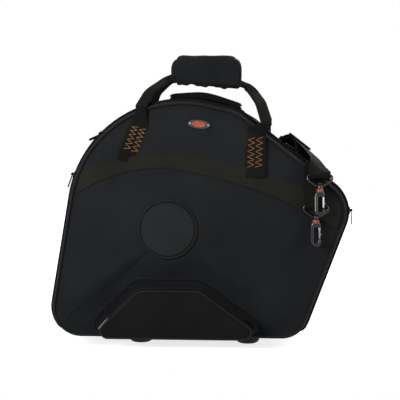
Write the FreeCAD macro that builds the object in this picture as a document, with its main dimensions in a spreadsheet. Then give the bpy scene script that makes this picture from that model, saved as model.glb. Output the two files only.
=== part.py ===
# French horn case: a soft-sided shell that stands on four rubber feet, opens like a clam at its
# bottom edge, and carries a bell bulge and a pocket on its lid.
# Frame: +X to the right, +Y to the back, +Z up, origin on the floor under the middle of the case.
import FreeCAD, Part
import math
import os
from FreeCAD import Vector

os.makedirs("parts", exist_ok=True)
doc = FreeCAD.newDocument("horn_case")

# Driving sizes in millimetres and degrees
SIZES = [
    # Outline of the case, seen from the front: heights are above the underside of the shells
    ("foot_height", 22.0, "rubber foot, floor to the shells"),
    ("low_left_reach", 277.0, "bottom left corner, out from the middle"),
    ("low_left_round", 52.0, "radius of that corner"),
    ("crown_reach", 196.0, "corner of the top left arc, out from the middle"),
    ("crown_height", 469.0, "corner of the top left arc, up"),
    ("crown_round", 205.0, "radius of the top left arc"),
    ("brow_reach", 67.0, "where the top turns down to the right"),
    ("brow_height", 407.5, "height of that turn"),
    ("brow_round", 70.0, "radius of that turn"),
    ("elbow_reach", 273.0, "upper right corner"),
    ("elbow_height", 247.5, "height of that corner"),
    ("elbow_round", 58.0, "radius of that corner"),
    ("low_right_reach", 180.5, "bottom right corner"),
    ("low_right_round", 48.0, "radius of that corner"),
    # Depth of the two shells
    ("parting_place", -55.0, "plane of the main zip, along Y"),
    ("parting_gap", 0.6, "gap between the two rims"),
    ("lid_depth", 30.0, "rim of the lid, front to back"),
    ("base_depth", 170.0, "rim of the base, front to back"),
    ("shell_wall", 8.0, "foam laminate of both shells"),
    ("lid_edge_round", 5.0, "front edge of the lid"),
    ("base_edge_round", 14.0, "rear edge of the base"),
    # Bell bulge on the lid
    ("crown_inset", 9.5, "foot of the bulge, in from the outline"),
    ("bulge_rise", 50.0, "disc above the lid's front edge"),
    ("disc_reach", 53.0, "middle of the disc, left of the middle"),
    ("disc_height", 203.0, "middle of the disc, up"),
    ("bulge_mouth", 53.0, "radius where the bulge ends"),
    ("disc_radius", 47.0, "flat round panel"),
    ("disc_thick", 3.0, "flat round panel"),
    ("cord_radius", 1.9, "piping cord round the disc"),
    # Piping and zip tapes
    ("piping_width", 4.0, "edge piping of both shells"),
    ("piping_rise", 2.5, "edge piping of both shells"),
    ("tape_width", 13.0, "zip tape along Y"),
    ("tape_thick", 1.6, "zip tape"),
    ("coil_width", 2.4, "half of the zip coil"),
    ("coil_rise", 1.3, "zip coil above its tape"),
    ("zip_stop", 24.0, "end of the zip beyond each end of the hinge"),
    ("hinge_width", 34.0, "fabric hinge along Y"),
    ("hinge_thick", 1.4, "fabric hinge"),
    ("fit_gap", 0.3, "clearance between pieces that move or rest"),
    ("overrun", 4.0, "how far a cutter passes its work"),
    # Feet
    ("foot_radius", 25.0, "rubber foot at the shell"),
    ("foot_tread", 14.0, "flat of the foot on the floor"),
    ("foot_round", 8.0, "edge of that flat"),
    ("foot_middle", 14.0, "middle of the pair of feet, left of the middle"),
    ("foot_spread", 99.0, "each foot, out from that middle"),
    ("foot_front", 42.5, "front pair, behind the parting plane"),
    ("foot_back", 30.0, "rear pair, in from the back"),
    # Trim on the lid
    ("band_thick", 1.5, "arc band"),
    ("tab_width", 38.0, "webbing of the handle tabs"),
    ("tab_thick", 2.5, "webbing of the handle tabs"),
    ("stub_tall", 42.0, "standing webbing between a tab and the bend"),
    ("left_tab_reach", 129.0, "lower end of the left tab, left of the middle"),
    ("left_tab_height", 318.0, "lower end of the left tab, up"),
    ("right_tab_reach", 97.0, "lower end of the right tab, right of the middle"),
    ("right_tab_height", 292.0, "lower end of the right tab, up"),
    ("badge_reach", 0.0, "middle of the badge, from the middle"),
    ("badge_height", 385.0, "middle of the badge, up"),
    ("badge_long", 40.0, "oval plate"),
    ("badge_tall", 15.0, "oval plate"),
    ("badge_thick", 1.6, "oval plate"),
    ("badge_tilt", 6.0, "degrees, down to the right"),
    ("badge_bed", 2.0, "padding behind the oval plate"),
    ("enamel_long", 24.0, "enamel field of the badge"),
    ("enamel_tall", 10.0, "enamel field of the badge"),
    ("enamel_rise", 0.5, "enamel above the plate"),
    ("rivet_radius", 1.2, "badge rivets"),
    ("rivet_rise", 0.7, "rivet heads above the plate"),
    ("rivet_reach", 16.0, "rivets from the middle of the badge"),
    # Pocket on the lid: heights are above the underside of the shells
    ("pocket_left_inset", 96.0, "bottom left corner of the flap, in from the outline's"),
    ("pocket_right_inset", 61.5, "bottom right corner of the flap, in from the outline's"),
    ("pocket_left_taper", 77.0, "top left corner of the flap, in from the lower one"),
    ("pocket_right_taper", 117.0, "top right corner of the flap, in from the lower one"),
    ("pocket_foot", 9.0, "lower edge, above the shells' underside"),
    ("pocket_height", 97.0, "upper edge, above the shells' underside"),
    ("pocket_corner", 22.0, "radius of the upper corners"),
    ("pocket_low_round", 12.0, "radius of the lower corners"),
    ("seat_left_inset", 69.0, "bottom left corner of the gusset at the lid, in from the outline's"),
    ("seat_right_inset", 40.5, "bottom right corner of the gusset at the lid, likewise"),
    ("seat_left_taper", 96.0, "top left corner of the gusset at the lid, in from the lower one"),
    ("seat_right_taper", 135.0, "top right corner of the gusset at the lid, likewise"),
    ("seat_height", 109.0, "upper edge of the gusset at the lid, up"),
    ("seat_low_round", 16.0, "radius of its lower corners"),
    ("pocket_face", -140.0, "front of the pocket, along Y"),
    ("pocket_zip", -127.0, "zip line of the pocket, along Y"),
    ("pocket_wall", 2.5, "fabric and foam of the pocket"),
    ("pocket_cord", 3.0, "piping round the flap"),
    # Handles
    ("web_width", 19.0, "handle webbing, folded in half"),
    ("web_thick", 5.0, "handle webbing, folded in half"),
    ("web_left", 103.0, "left foot of the handle, from the middle"),
    ("web_left_height", 416.0, "left pivot of the handle, up"),
    ("web_right", 118.0, "right foot of the handle, from the middle"),
    ("web_right_height", 386.0, "right pivot of the handle, up"),
    ("web_stand", 7.0, "pivot in front of the shell's face"),
    ("web_round", 70.0, "radius of the shoulders of the web"),
    ("grip_middle", 5.0, "middle of the grip, right of the middle"),
    ("grip_place", 15.0, "middle of the grip, along Y"),
    ("grip_height", 481.0, "middle of the grip, up"),
    ("grip_long", 130.0, "grip along X"),
    ("grip_tall", 51.0, "grip, up and down"),
    ("grip_deep", 48.0, "both halves of the grip, front to back"),
    ("grip_round", 21.0, "corners of the grip's section"),
    ("grip_end_round", 9.0, "ends of the grip"),
    ("web_drop", 14.0, "web below and beside the grip's middle"),
    ("haul_long", 132.0, "haul handle along X"),
    ("haul_wide", 34.0, "haul handle along Y"),
    ("haul_thick", 4.0, "haul handle webbing and pad"),
    ("haul_rise", 8.0, "finger gap under the haul handle"),
    ("haul_end", 12.0, "sewn ends of the haul handle"),
    ("haul_place", 25.0, "middle of the haul handle, along Y"),
    # Rings on the gusset
    ("ring_width", 46.0, "ring across, along Y"),
    ("ring_length", 26.0, "ring along its pull"),
    ("ring_wire", 4.6, "wire of the ring"),
    ("ring_tab_width", 34.0, "webbing tab of a ring"),
    ("ring_tab_long", 34.0, "webbing tab of a ring"),
    ("ring_tab_thick", 2.6, "webbing tab of a ring"),
    ("ring_place", 25.0, "middle of the rings, along Y"),
    ("bore_share", 0.72, "bore round a square bar, as a share of its wire"),
    ("ring_raise", 24.0, "degrees that the left ring stands off the gusset"),
    ("left_ring_angle", 138.0, "degrees round the crown arc from +X"),
    ("right_ring_inset", 95.0, "fold of the right ring, in from the upper right corner"),
    # Shoulder strap
    ("strap_width", 38.0, "shoulder strap"),
    ("strap_thick", 2.2, "shoulder strap"),
    ("strap_front_inset", 72.0, "strap at the parting plane, in from the upper right corner"),
    ("strap_back_inset", 117.0, "strap at the back edge, in from the upper right corner"),
    ("strap_arch", 16.0, "inner layer above the gusset at its highest"),
    ("strap_skim", 4.5, "inner layer above the gusset at the zip"),
    ("strap_drop", 290.0, "loop of the strap down the back"),
    ("strap_belly", 26.0, "depth of the loop behind the back"),
    ("glide_wire", 3.6, "bars of the tri-glide"),
    ("glide_long", 22.0, "tri-glide along the strap"),
    ("glide_margin", 6.5, "tri-glide wider than the strap, each side"),
    # Snap hooks
    ("upper_bar_inset", 61.5, "upper eye's bar, in from the upper right corner"),
    ("upper_bar_rise", 49.5, "upper eye's bar, above that corner"),
    ("lower_bar_inset", 67.5, "lower eye's bar, in from that corner"),
    ("bar_spacing", 54.0, "lower eye's bar, below the upper one"),
    ("upper_stand", 28.0, "upper bar in front of the lid's front edge"),
    ("lower_stand", 24.0, "lower bar in front of the lid's front edge"),
    ("upper_lean", 14.0, "degrees that the upper hook leans out"),
    ("lower_lean", 4.0, "degrees that the lower hook leans out"),
    ("gate_pin", 1.0, "radius of the gate's pin"),
    ("eye_width", 47.0, "eye of a snap hook"),
    ("eye_height", 21.0, "eye, from its bar to the swivel"),
    ("eye_wire", 4.4, "eye of a snap hook"),
    ("swivel_radius", 5.2, "barrel under the eye"),
    ("swivel_long", 7.0, "barrel under the eye"),
    ("post_radius", 2.2, "post that turns in the barrel"),
    ("post_play", 0.08, "running clearance round the post"),
    ("hook_width", 17.0, "hook body"),
    ("hook_thick", 6.0, "hook body"),
    ("hook_long", 42.0, "hook body, shoulder to tip"),
    ("hook_wire", 4.2, "curved arm of the hook"),
    ("shoulder_tall", 9.0, "solid shoulder of the hook"),
    # Zip sliders
    ("slider_long", 13.0, "zip slider along the zip"),
    ("slider_wide", 10.0, "zip slider across the zip"),
    ("slider_tall", 3.2, "zip slider above the coil"),
    ("pull_long", 26.0, "zip pull"),
    ("pull_wide", 6.0, "zip pull"),
    ("pull_thick", 1.6, "zip pull"),
    ("pull_hole", 1.9, "radius of the hole at the top of a pull"),
    ("bail_wire", 1.4, "bail on a slider"),
    ("bail_tall", 4.6, "bail above a slider"),
    ("left_slider_angle", 160.0, "degrees round the crown arc from +X"),
    ("right_slider_angle", 2.0, "degrees round the elbow arc from +X"),
    ("pocket_slider_share", 0.17, "slider's place up the pocket's left side"),
    # Insert and what it holds: heights are above the underside of the shells
    ("insert_gap", 0.5, "insert inside the shell"),
    ("insert_face", 6.0, "insert behind the parting plane"),
    ("insert_floor", 18.0, "foam behind the horn"),
    ("bell_radius", 158.0, "cavity round the bell"),
    ("bell_height", 210.0, "middle of the bell cavity, up"),
    ("coil_inset", 211.0, "middle of the tubing cavity, in from the upper right corner"),
    ("coil_height", 214.0, "middle of the tubing cavity, up"),
    ("coil_radius", 128.0, "cavity round the tubing"),
    ("bin_inset", 167.0, "middle of the accessory bin, in from the upper right corner"),
    ("bin_wide", 84.0, "accessory bin along X"),
    ("bin_tall", 52.0, "accessory bin, up"),
    ("bin_foot", 22.0, "floor of the accessory bin, up"),
    ("bin_deep", 88.0, "accessory bin along Y"),
    ("pad_thick", 9.0, "lining pad inside the lid"),
    ("pad_ring", 34.0, "width of the lining pad's ring"),
    ("horn_strap_width", 38.0, "retaining strap"),
    ("horn_strap_thick", 3.0, "retaining strap"),
    ("horn_strap_left_inset", 53.0, "left end of the retaining strap, in from the bottom left corner"),
    ("horn_strap_right_inset", 55.0, "right end of the retaining strap, in from the upper right corner"),
    ("horn_strap_height", 208.0, "lower edge of the retaining strap, up"),
]

sheet = doc.addObject("Spreadsheet::Sheet", "Sizes")
for row, (alias, value, note) in enumerate(SIZES, start=1):
    sheet.set("A%d" % row, alias)
    sheet.set("B%d" % row, str(value))
    sheet.setAlias("B%d" % row, alias)
    sheet.set("C%d" % row, note)
doc.recompute()


class Sheet:
    """Reads a driving size by its alias."""

    def __getattr__(self, alias):
        return float(sheet.get(alias))


size = Sheet()
nodes = {}


def node(label, shape):
    """A sub-part whose shape is worked out from the sheet."""
    thing = doc.addObject("Part::Feature", label)
    thing.Label = label
    thing.Shape = shape
    nodes[label] = thing
    return thing


def named(label, thing):
    """A sub-part that is built from the sheet by its own features."""
    thing.Label = label
    nodes[label] = thing
    return thing


# Places that several pieces share
lid_rim = size.parting_place - size.parting_gap / 2
base_rim = size.parting_place + size.parting_gap / 2
lid_face = size.parting_place - size.lid_depth
base_face = size.parting_place + size.base_depth
floor = size.foot_height
disc_face = lid_face - size.bulge_rise
DEEP = Vector(0, 1, 0)


def unit(x, z):
    length = math.hypot(x, z)
    return x / length, z / length


def corner_arc(before, here, after, radius):
    """Start, middle, end and centre of the arc that rounds one corner."""
    ax, az = unit(before[0] - here[0], before[1] - here[1])
    bx, bz = unit(after[0] - here[0], after[1] - here[1])
    half = math.acos(ax * bx + az * bz) / 2
    reach = radius / math.tan(half)
    mx, mz = unit(ax + bx, az + bz)
    far = radius / math.sin(half)
    centre = (here[0] + mx * far, here[1] + mz * far)
    start = (here[0] + ax * reach, here[1] + az * reach)
    end = (here[0] + bx * reach, here[1] + bz * reach)
    middle = (centre[0] - mx * radius, centre[1] - mz * radius)
    return start, middle, end, centre


def between(a, b, share):
    return a[0] + (b[0] - a[0]) * share, a[1] + (b[1] - a[1]) * share


def strokes(corners, grow):
    """Closed outline of arcs and straight sides, grown outwards by grow.

    Each stroke is (start, middle, end, straight)."""
    arcs = []
    for i, (x, z, radius) in enumerate(corners):
        after = corners[(i + 1) % len(corners)]
        start, middle, end, centre = corner_arc(corners[i - 1], (x, z), after, radius)
        grown = (radius + grow) / radius
        arcs.append(tuple(between(centre, p, grown) for p in (start, middle, end)))
    outline = []
    for i, (start, middle, end) in enumerate(arcs):
        following = arcs[(i + 1) % len(arcs)][0]
        outline.append((start, middle, end, False))
        outline.append((end, between(end, following, 0.5), following, True))
    return outline


def flat(point, depth):
    return Vector(point[0], depth, point[1])


def wire_of(outline, depth):
    """The outline as a wire in the plane Y = depth."""
    edges = []
    for start, middle, end, straight in outline:
        if straight:
            edges.append(Part.LineSegment(flat(start, depth), flat(end, depth)).toShape())
        else:
            edges.append(Part.Arc(flat(start, depth), flat(middle, depth), flat(end, depth)).toShape())
    return Part.Wire(edges)


def prism(outline, front, back):
    face = Part.Face(wire_of(outline, front))
    return face.extrude(DEEP * (back - front))


def edges_at(shape, depth):
    """The edges of a shape that lie wholly in the plane Y = depth."""
    found = []
    for edge in shape.Edges:
        box = edge.BoundBox
        if abs(box.YMin - depth) < size.fit_gap and abs(box.YMax - depth) < size.fit_gap:
            found.append(edge)
    return found


CASE = [
    (-size.low_left_reach, floor, size.low_left_round),
    (-size.crown_reach, floor + size.crown_height, size.crown_round),
    (size.brow_reach, floor + size.brow_height, size.brow_round),
    (size.elbow_reach, floor + size.elbow_height, size.elbow_round),
    (size.low_right_reach, floor, size.low_right_round),
]
DISC = (-size.disc_reach, floor + size.disc_height)


def case(grow):
    return strokes(CASE, grow)


def onto_circle(point, radius):
    x, z = unit(point[0] - DISC[0], point[1] - DISC[1])
    return DISC[0] + x * radius, DISC[1] + z * radius


def flared(grow, mouth, share):
    """The outline drawn a share of the way in to a circle round the disc."""
    outline = []
    for start, middle, end, straight in case(grow):
        moved = [between(p, onto_circle(p, mouth), share) for p in (start, middle, end)]
        outline.append((moved[0], moved[1], moved[2], straight and share == 0))
    return outline


# Bulge: how far in towards the disc, and how much of the rise is reached there
FLARE_SHARES = [(0.0, 0.0), (0.12, 0.2), (0.5, 0.56), (0.85, 0.9), (1.0, 1.0)]


def lid_form(drop):
    """The lid as a solid, its skin set in by drop on every side."""
    front = lid_face + drop
    slab = prism(case(-drop), front, lid_rim + (size.overrun if drop else 0))
    edge_round = max(size.lid_edge_round - drop, size.fit_gap)
    slab = slab.makeFillet(edge_round, edges_at(slab, front))
    inset = size.crown_inset + drop / 2
    mouth = size.bulge_mouth - drop / 2
    sections = [wire_of(flared(-inset, mouth, 0), front + size.pocket_wall)]
    for share, rise in FLARE_SHARES:
        sections.append(wire_of(flared(-inset, mouth, share), front - size.bulge_rise * rise))
    bulge = Part.makeLoft(sections, True, True)
    return slab.fuse(bulge)


lid_outside = lid_form(0.0)
lid_inside = lid_form(size.shell_wall)


def on_lid(outline, thick):
    """A layer of trim that follows the lid's face within an outline."""
    patch = prism(outline, disc_face - size.overrun - thick, lid_rim)
    raised = lid_outside.copy()
    raised.translate(DEEP * -thick)
    return patch.common(raised).cut(lid_outside)


def base_form(drop):
    back = base_face - drop
    slab = prism(case(-drop), base_rim - (size.overrun if drop else 0), back)
    return slab.makeFillet(size.base_edge_round - drop, edges_at(slab, back))


# Shells
node("lid_shell", lid_outside.cut(lid_inside))
node("base_shell", base_form(0.0).cut(base_form(size.shell_wall)))


def ring(outer, inner, front, back):
    """A band round the outline, between two growths of it."""
    hole = prism(case(inner), front - size.overrun, back + size.overrun)
    return prism(case(outer), front, back).cut(hole)


def block(low, high):
    """A box between two corners."""
    return Part.makeBox(high.x - low.x, high.y - low.y, high.z - low.z, low)


def rod(start, end, radius):
    return Part.makeCylinder(radius, (end - start).Length, start, end - start)


def frame_at(origin, first, second):
    """Placement whose X and Y axes lie along first and second."""
    third = first.cross(second)
    matrix = FreeCAD.Matrix(
        first.x, second.x, third.x, origin.x,
        first.y, second.y, third.y, origin.y,
        first.z, second.z, third.z, origin.z,
    )
    return FreeCAD.Placement(matrix)


def put(shape, placement):
    """The shape carried from the origin to a placement."""
    moved = shape.copy()
    moved.Placement = placement.multiply(moved.Placement)
    return moved


# Piping along both outer edges
node(
    "lid_piping",
    ring(
        -size.lid_edge_round,
        -size.lid_edge_round - size.piping_width,
        lid_face - size.piping_rise,
        lid_face,
    ),
)
node(
    "base_piping",
    ring(
        -size.base_edge_round,
        -size.base_edge_round - size.piping_width,
        base_face,
        base_face + size.piping_rise,
    ),
)

# Zip tapes on three sides and the fabric hinge on the fourth
hinge_right = case(0)[-1][0]
hinge_left = case(0)[-1][2]


def zip_tape(rim, away):
    """Tape and half a coil on one rim; away is -1 in front of the zip and 1 behind it."""
    edges = sorted([rim, rim + away * size.tape_width])
    coil = sorted([rim, rim + away * size.coil_width])
    tape = ring(size.tape_thick, 0, edges[0], edges[1])
    tape = tape.fuse(ring(size.tape_thick + size.coil_rise, size.tape_thick, coil[0], coil[1]))
    below = block(
        Vector(hinge_left[0] - size.zip_stop, edges[0] - size.overrun, 0),
        Vector(hinge_right[0] + size.zip_stop, edges[1] + size.overrun, floor + size.zip_stop),
    )
    return tape.cut(below)


node("lid_zip_tape", zip_tape(lid_rim, -1))
node("base_zip_tape", zip_tape(base_rim, 1))
node(
    "hinge_tape",
    block(
        Vector(hinge_left[0] + size.fit_gap, size.parting_place - size.hinge_width / 2, floor - size.hinge_thick),
        Vector(hinge_right[0] - size.fit_gap, size.parting_place + size.hinge_width / 2, floor),
    ),
)


# Rubber feet: a cone with a rounded tread edge
def foot(label, across, along):
    body = doc.addObject("PartDesign::Body", label + "_body")
    cone = body.newObject("PartDesign::AdditiveCone", label + "_cone")
    cone.setExpression("Radius1", "Sizes.foot_tread + Sizes.foot_round")
    cone.setExpression("Radius2", "Sizes.foot_radius")
    cone.setExpression("Height", "Sizes.foot_height")
    doc.recompute()
    tread = min(range(len(cone.Shape.Edges)), key=lambda i: cone.Shape.Edges[i].CenterOfMass.z)
    rounding = body.newObject("PartDesign::Fillet", label + "_rounding")
    rounding.Base = (cone, ["Edge%d" % (tread + 1)])
    rounding.setExpression("Radius", "Sizes.foot_round")
    body.Tip = rounding
    body.setExpression("Placement.Base.x", across)
    body.setExpression("Placement.Base.y", along)
    named(label, body)


FRONT_FEET = "Sizes.parting_place + Sizes.foot_front"
REAR_FEET = "Sizes.parting_place + Sizes.base_depth - Sizes.foot_back"
LEFT_FEET = "-Sizes.foot_middle - Sizes.foot_spread"
RIGHT_FEET = "-Sizes.foot_middle + Sizes.foot_spread"
foot("foot_front_left", LEFT_FEET, FRONT_FEET)
foot("foot_front_right", RIGHT_FEET, FRONT_FEET)
foot("foot_rear_left", LEFT_FEET, REAR_FEET)
foot("foot_rear_right", RIGHT_FEET, REAR_FEET)

# Flat round panel on the bulge, and the piping round it
FACING = FreeCAD.Rotation(Vector(1, 0, 0), 90)


def on_disc(thing, depth):
    """Turns a primitive to face the front and puts it on the disc's middle."""
    thing.Placement = FreeCAD.Placement(Vector(), FACING)
    thing.setExpression("Placement.Base.x", "-Sizes.disc_reach")
    thing.setExpression("Placement.Base.y", depth)
    thing.setExpression("Placement.Base.z", "Sizes.foot_height + Sizes.disc_height")


DISC_FACE = "Sizes.parting_place - Sizes.lid_depth - Sizes.bulge_rise"
panel = doc.addObject("Part::Cylinder", "disc_panel")
panel.setExpression("Radius", "Sizes.disc_radius")
panel.setExpression("Height", "Sizes.disc_thick")
on_disc(panel, DISC_FACE)
named("disc_panel", panel)
cord = doc.addObject("Part::Torus", "disc_piping")
cord.setExpression("Radius1", "(Sizes.disc_radius + Sizes.bulge_mouth) / 2")
cord.setExpression("Radius2", "Sizes.cord_radius")
on_disc(cord, DISC_FACE + " - Sizes.cord_radius")
named("disc_piping", cord)


# Trim that follows the lid's face
def spot(across_share, up_share):
    """A point of the outline's box, from its left foot."""
    width = size.low_left_reach + size.elbow_reach
    return -size.low_left_reach + across_share * width, floor + up_share * size.crown_height


BAND_UPPER_SHARES = [(0.10, 0.643), (0.267, 0.697), (0.44, 0.714), (0.70, 0.645), (0.99, 0.495)]
BAND_LOWER_SHARES = [(0.99, 0.385), (0.685, 0.574), (0.391, 0.658), (0.231, 0.625), (0.07, 0.525)]


def band_outline():
    upper = [spot(*share) for share in BAND_UPPER_SHARES]
    lower = [spot(*share) for share in BAND_LOWER_SHARES]
    return [
        (upper[0], upper[1], upper[2], False),
        (upper[2], upper[3], upper[4], False),
        (upper[4], None, lower[0], True),
        (lower[0], lower[1], lower[2], False),
        (lower[2], lower[3], lower[4], False),
        (lower[4], None, upper[0], True),
    ]


within_piping = prism(case(-size.crown_inset - size.fit_gap), disc_face - size.bulge_rise, lid_rim)
node("arc_band", on_lid(band_outline(), size.band_thick).common(within_piping))


def polygon(points):
    return [(points[i - 1], None, points[i], True) for i in range(len(points))]


def leaning_strip(top, bottom, width):
    """Outline of a straight strip between the middles of its two ends."""
    x, z = unit(top[0] - bottom[0], top[1] - bottom[1])
    side = (z * width / 2, -x * width / 2)
    points = [
        (bottom[0] - side[0], bottom[1] - side[1]),
        (top[0] - side[0], top[1] - side[1]),
        (top[0] + side[0], top[1] + side[1]),
        (bottom[0] + side[0], bottom[1] + side[1]),
    ]
    return polygon(points)


LEFT_PIVOT = (-size.web_left, floor + size.web_left_height)
RIGHT_PIVOT = (size.web_right, floor + size.web_right_height)
LEFT_TAB_FOOT = (-size.left_tab_reach, floor + size.left_tab_height)
RIGHT_TAB_FOOT = (size.right_tab_reach, floor + size.right_tab_height)
front_pivot = lid_face - size.web_stand
rear_pivot = base_face + size.web_stand


pivot_fall = (LEFT_PIVOT[1] - RIGHT_PIVOT[1]) / (RIGHT_PIVOT[0] - LEFT_PIVOT[0])


def web_stub(pivot, face, depth):
    """Folded webbing that stands up from a tab to the bend of the handle."""
    near = sorted([face, depth + math.copysign(size.web_thick / 2, depth - face)])
    half = size.web_width / 2
    top = pivot[1] - size.web_thick / 2 - 2 * size.fit_gap
    corners = [
        (pivot[0] - half, pivot[1] - size.stub_tall),
        (pivot[0] - half, top + half * pivot_fall),
        (pivot[0] + half, top - half * pivot_fall),
        (pivot[0] + half, pivot[1] - size.stub_tall),
    ]
    return prism(polygon(corners), near[0], near[1])


def front_tab(foot_place, pivot):
    strip = leaning_strip(pivot, foot_place, size.tab_width)
    layer = on_lid(strip, size.tab_thick).common(within_piping)
    band = prism(band_outline(), disc_face - size.bulge_rise, lid_rim)
    stub = web_stub(pivot, lid_face - size.piping_rise, front_pivot).cut(lid_outside)
    return layer.cut(band).fuse(stub)


def rear_tab(foot_place, pivot):
    inset = size.base_edge_round + size.piping_width + size.fit_gap
    flat_back = prism(case(-inset), base_face, base_face + size.tab_thick + size.overrun)
    strip = prism(
        leaning_strip(pivot, foot_place, size.tab_width),
        base_face,
        base_face + size.tab_thick,
    )
    stub = web_stub(pivot, base_face + size.piping_rise, rear_pivot)
    joiner = web_stub(pivot, base_face, rear_pivot).common(flat_back)
    return strip.common(flat_back).fuse(stub).fuse(joiner)


node("front_tab_left", front_tab(LEFT_TAB_FOOT, LEFT_PIVOT))
node("front_tab_right", front_tab(RIGHT_TAB_FOOT, RIGHT_PIVOT))
node("rear_tab_left", rear_tab(LEFT_TAB_FOOT, LEFT_PIVOT))
node("rear_tab_right", rear_tab(RIGHT_TAB_FOOT, RIGHT_PIVOT))


# Badge: oval plate on the lid, enamel field and two rivets
badge_x = size.badge_reach
badge_z = floor + size.badge_height
badge_ends = [
    (badge_x - size.badge_long / 2, badge_z),
    (badge_x + size.badge_long / 2, badge_z),
    (badge_x, badge_z - size.badge_tall / 2),
    (badge_x, badge_z + size.badge_tall / 2),
]


def lid_surface(x, z):
    """Depth of the lid's face at a place."""
    probe = Part.makeLine(Vector(x, disc_face - size.overrun, z), Vector(x, lid_rim, z))
    return lid_outside.common(probe).BoundBox.YMin


badge_seat = min(lid_surface(x, z) for x, z in badge_ends)


def oval(long, tall, front, back):
    """An upright oval cylinder round the badge's middle, tilted."""
    curve = Part.Ellipse(Vector(), long / 2, tall / 2)
    face = Part.Face(Part.Wire(curve.toShape()))
    solid = face.extrude(Vector(0, 0, back - front))
    tilt = math.radians(size.badge_tilt)
    across = Vector(math.cos(tilt), 0, -math.sin(tilt))
    up = Vector(math.sin(tilt), 0, math.cos(tilt))
    place = frame_at(Vector(badge_x, back, badge_z), across, up)
    return put(solid, place)


plate_front = badge_seat - size.badge_thick
node("badge_plate", oval(size.badge_long, size.badge_tall, plate_front, badge_seat + size.badge_bed).cut(lid_outside))
node("badge_enamel", oval(size.enamel_long, size.enamel_tall, plate_front - size.enamel_rise, plate_front))
rivets = []
for side in (-1, 1):
    tilt = math.radians(size.badge_tilt)
    x = badge_x + side * size.rivet_reach * math.cos(tilt)
    z = badge_z - side * size.rivet_reach * math.sin(tilt)
    rivet_foot = Vector(x, plate_front, z)
    rivets.append(rod(rivet_foot, rivet_foot - DEEP * size.rivet_rise, size.rivet_radius))
node("badge_rivets", Part.makeCompound(rivets))

# Pocket: a gusset sewn to the lid, and a flap with the rest of the box behind its zip
pocket_left = size.pocket_left_inset - size.low_left_reach
pocket_right = size.low_right_reach - size.pocket_right_inset
POCKET = [
    (pocket_left, floor + size.pocket_foot, size.pocket_low_round),
    (pocket_left + size.pocket_left_taper, floor + size.pocket_height, size.pocket_corner),
    (pocket_right - size.pocket_right_taper, floor + size.pocket_height, size.pocket_corner),
    (pocket_right, floor + size.pocket_foot, size.pocket_low_round),
]
seat_left = size.seat_left_inset - size.low_left_reach
seat_right = size.low_right_reach - size.seat_right_inset
SEAT = [
    (seat_left, floor + size.pocket_foot, size.seat_low_round),
    (seat_left + size.seat_left_taper, floor + size.seat_height, size.pocket_corner),
    (seat_right - size.seat_right_taper, floor + size.seat_height, size.pocket_corner),
    (seat_right, floor + size.pocket_foot, size.seat_low_round),
]


def pocket(grow):
    return strokes(POCKET, grow)


def pocket_ring(outer, inner, front, back):
    hole = prism(pocket(inner), front - size.overrun, back + size.overrun)
    return prism(pocket(outer), front, back).cut(hole)


def gusset(drop):
    """The pocket's wall from the lid to the zip, spread towards the lid."""
    seat = lid_face + size.lid_edge_round
    zip_side = size.pocket_zip - (size.overrun if drop else 0)
    sections = [wire_of(strokes(SEAT, -drop), seat), wire_of(pocket(-drop), zip_side)]
    return Part.makeLoft(sections, True, True)


pocket_gusset = gusset(0).cut(gusset(size.pocket_wall)).cut(lid_outside)
node("pocket_gusset", pocket_gusset.cut(nodes["lid_piping"].Shape))
flap_rim = size.pocket_zip - size.fit_gap
flap = prism(pocket(0), size.pocket_face, flap_rim)
flap = flap.makeFillet(size.pocket_wall, edges_at(flap, size.pocket_face))
flap_back = flap_rim + size.overrun
flap = flap.cut(prism(pocket(-size.pocket_wall), size.pocket_face + size.pocket_wall, flap_back))
node("pocket_flap", flap)
node(
    "pocket_piping",
    pocket_ring(
        -size.pocket_wall,
        -size.pocket_wall - size.pocket_cord,
        size.pocket_face - size.pocket_cord / 2,
        size.pocket_face,
    ),
)
pocket_coil = pocket_ring(size.coil_rise, 0, size.pocket_zip, size.pocket_zip + size.coil_width)
coil_foot = floor + size.pocket_foot + size.pocket_low_round
pocket_coil = pocket_coil.cut(
    block(
        Vector(-size.low_left_reach, size.pocket_zip - size.overrun, 0),
        Vector(size.elbow_reach, size.pocket_zip + size.tape_width, coil_foot),
    )
)
node("pocket_zip", pocket_coil.cut(gusset(0)))


# Handles: a web bent in its own leaning plane, and a grip that is split lengthwise
WEB_SHARES = [(0.0, 0.0), (0.02, 0.40), (0.22, 0.93), (0.79, 0.97), (0.99, 0.42), (1.0, 0.0)]


def path_arcs(points, radius):
    """Strokes along an open path: (kind, start, middle, end, centre, turn)."""
    pieces = []
    here = points[0]
    for i in range(1, len(points) - 1):
        start, middle, end, centre = corner_arc(points[i - 1], points[i], points[i + 1], radius)
        ax, az = points[i][0] - points[i - 1][0], points[i][1] - points[i - 1][1]
        bx, bz = points[i + 1][0] - points[i][0], points[i + 1][1] - points[i][1]
        turn = math.copysign(1, ax * bz - az * bx)
        pieces.append((here, start, None, None, 0))
        pieces.append((start, end, middle, centre, turn))
        here = end
    pieces.append((here, points[-1], None, None, 0))
    return pieces


def beside(piece, shift):
    """One side of a strip along a stroke: (start, middle, end, straight)."""
    start, end, middle, centre, turn = piece
    if centre is None:
        x, z = unit(end[0] - start[0], end[1] - start[1])
        move = (-z * shift, x * shift)
        return (
            (start[0] + move[0], start[1] + move[1]),
            None,
            (end[0] + move[0], end[1] + move[1]),
            True,
        )
    radius = math.hypot(start[0] - centre[0], start[1] - centre[1])
    grown = (radius - turn * shift) / radius
    return tuple(between(centre, p, grown) for p in (start, middle, end)) + (False,)


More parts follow.
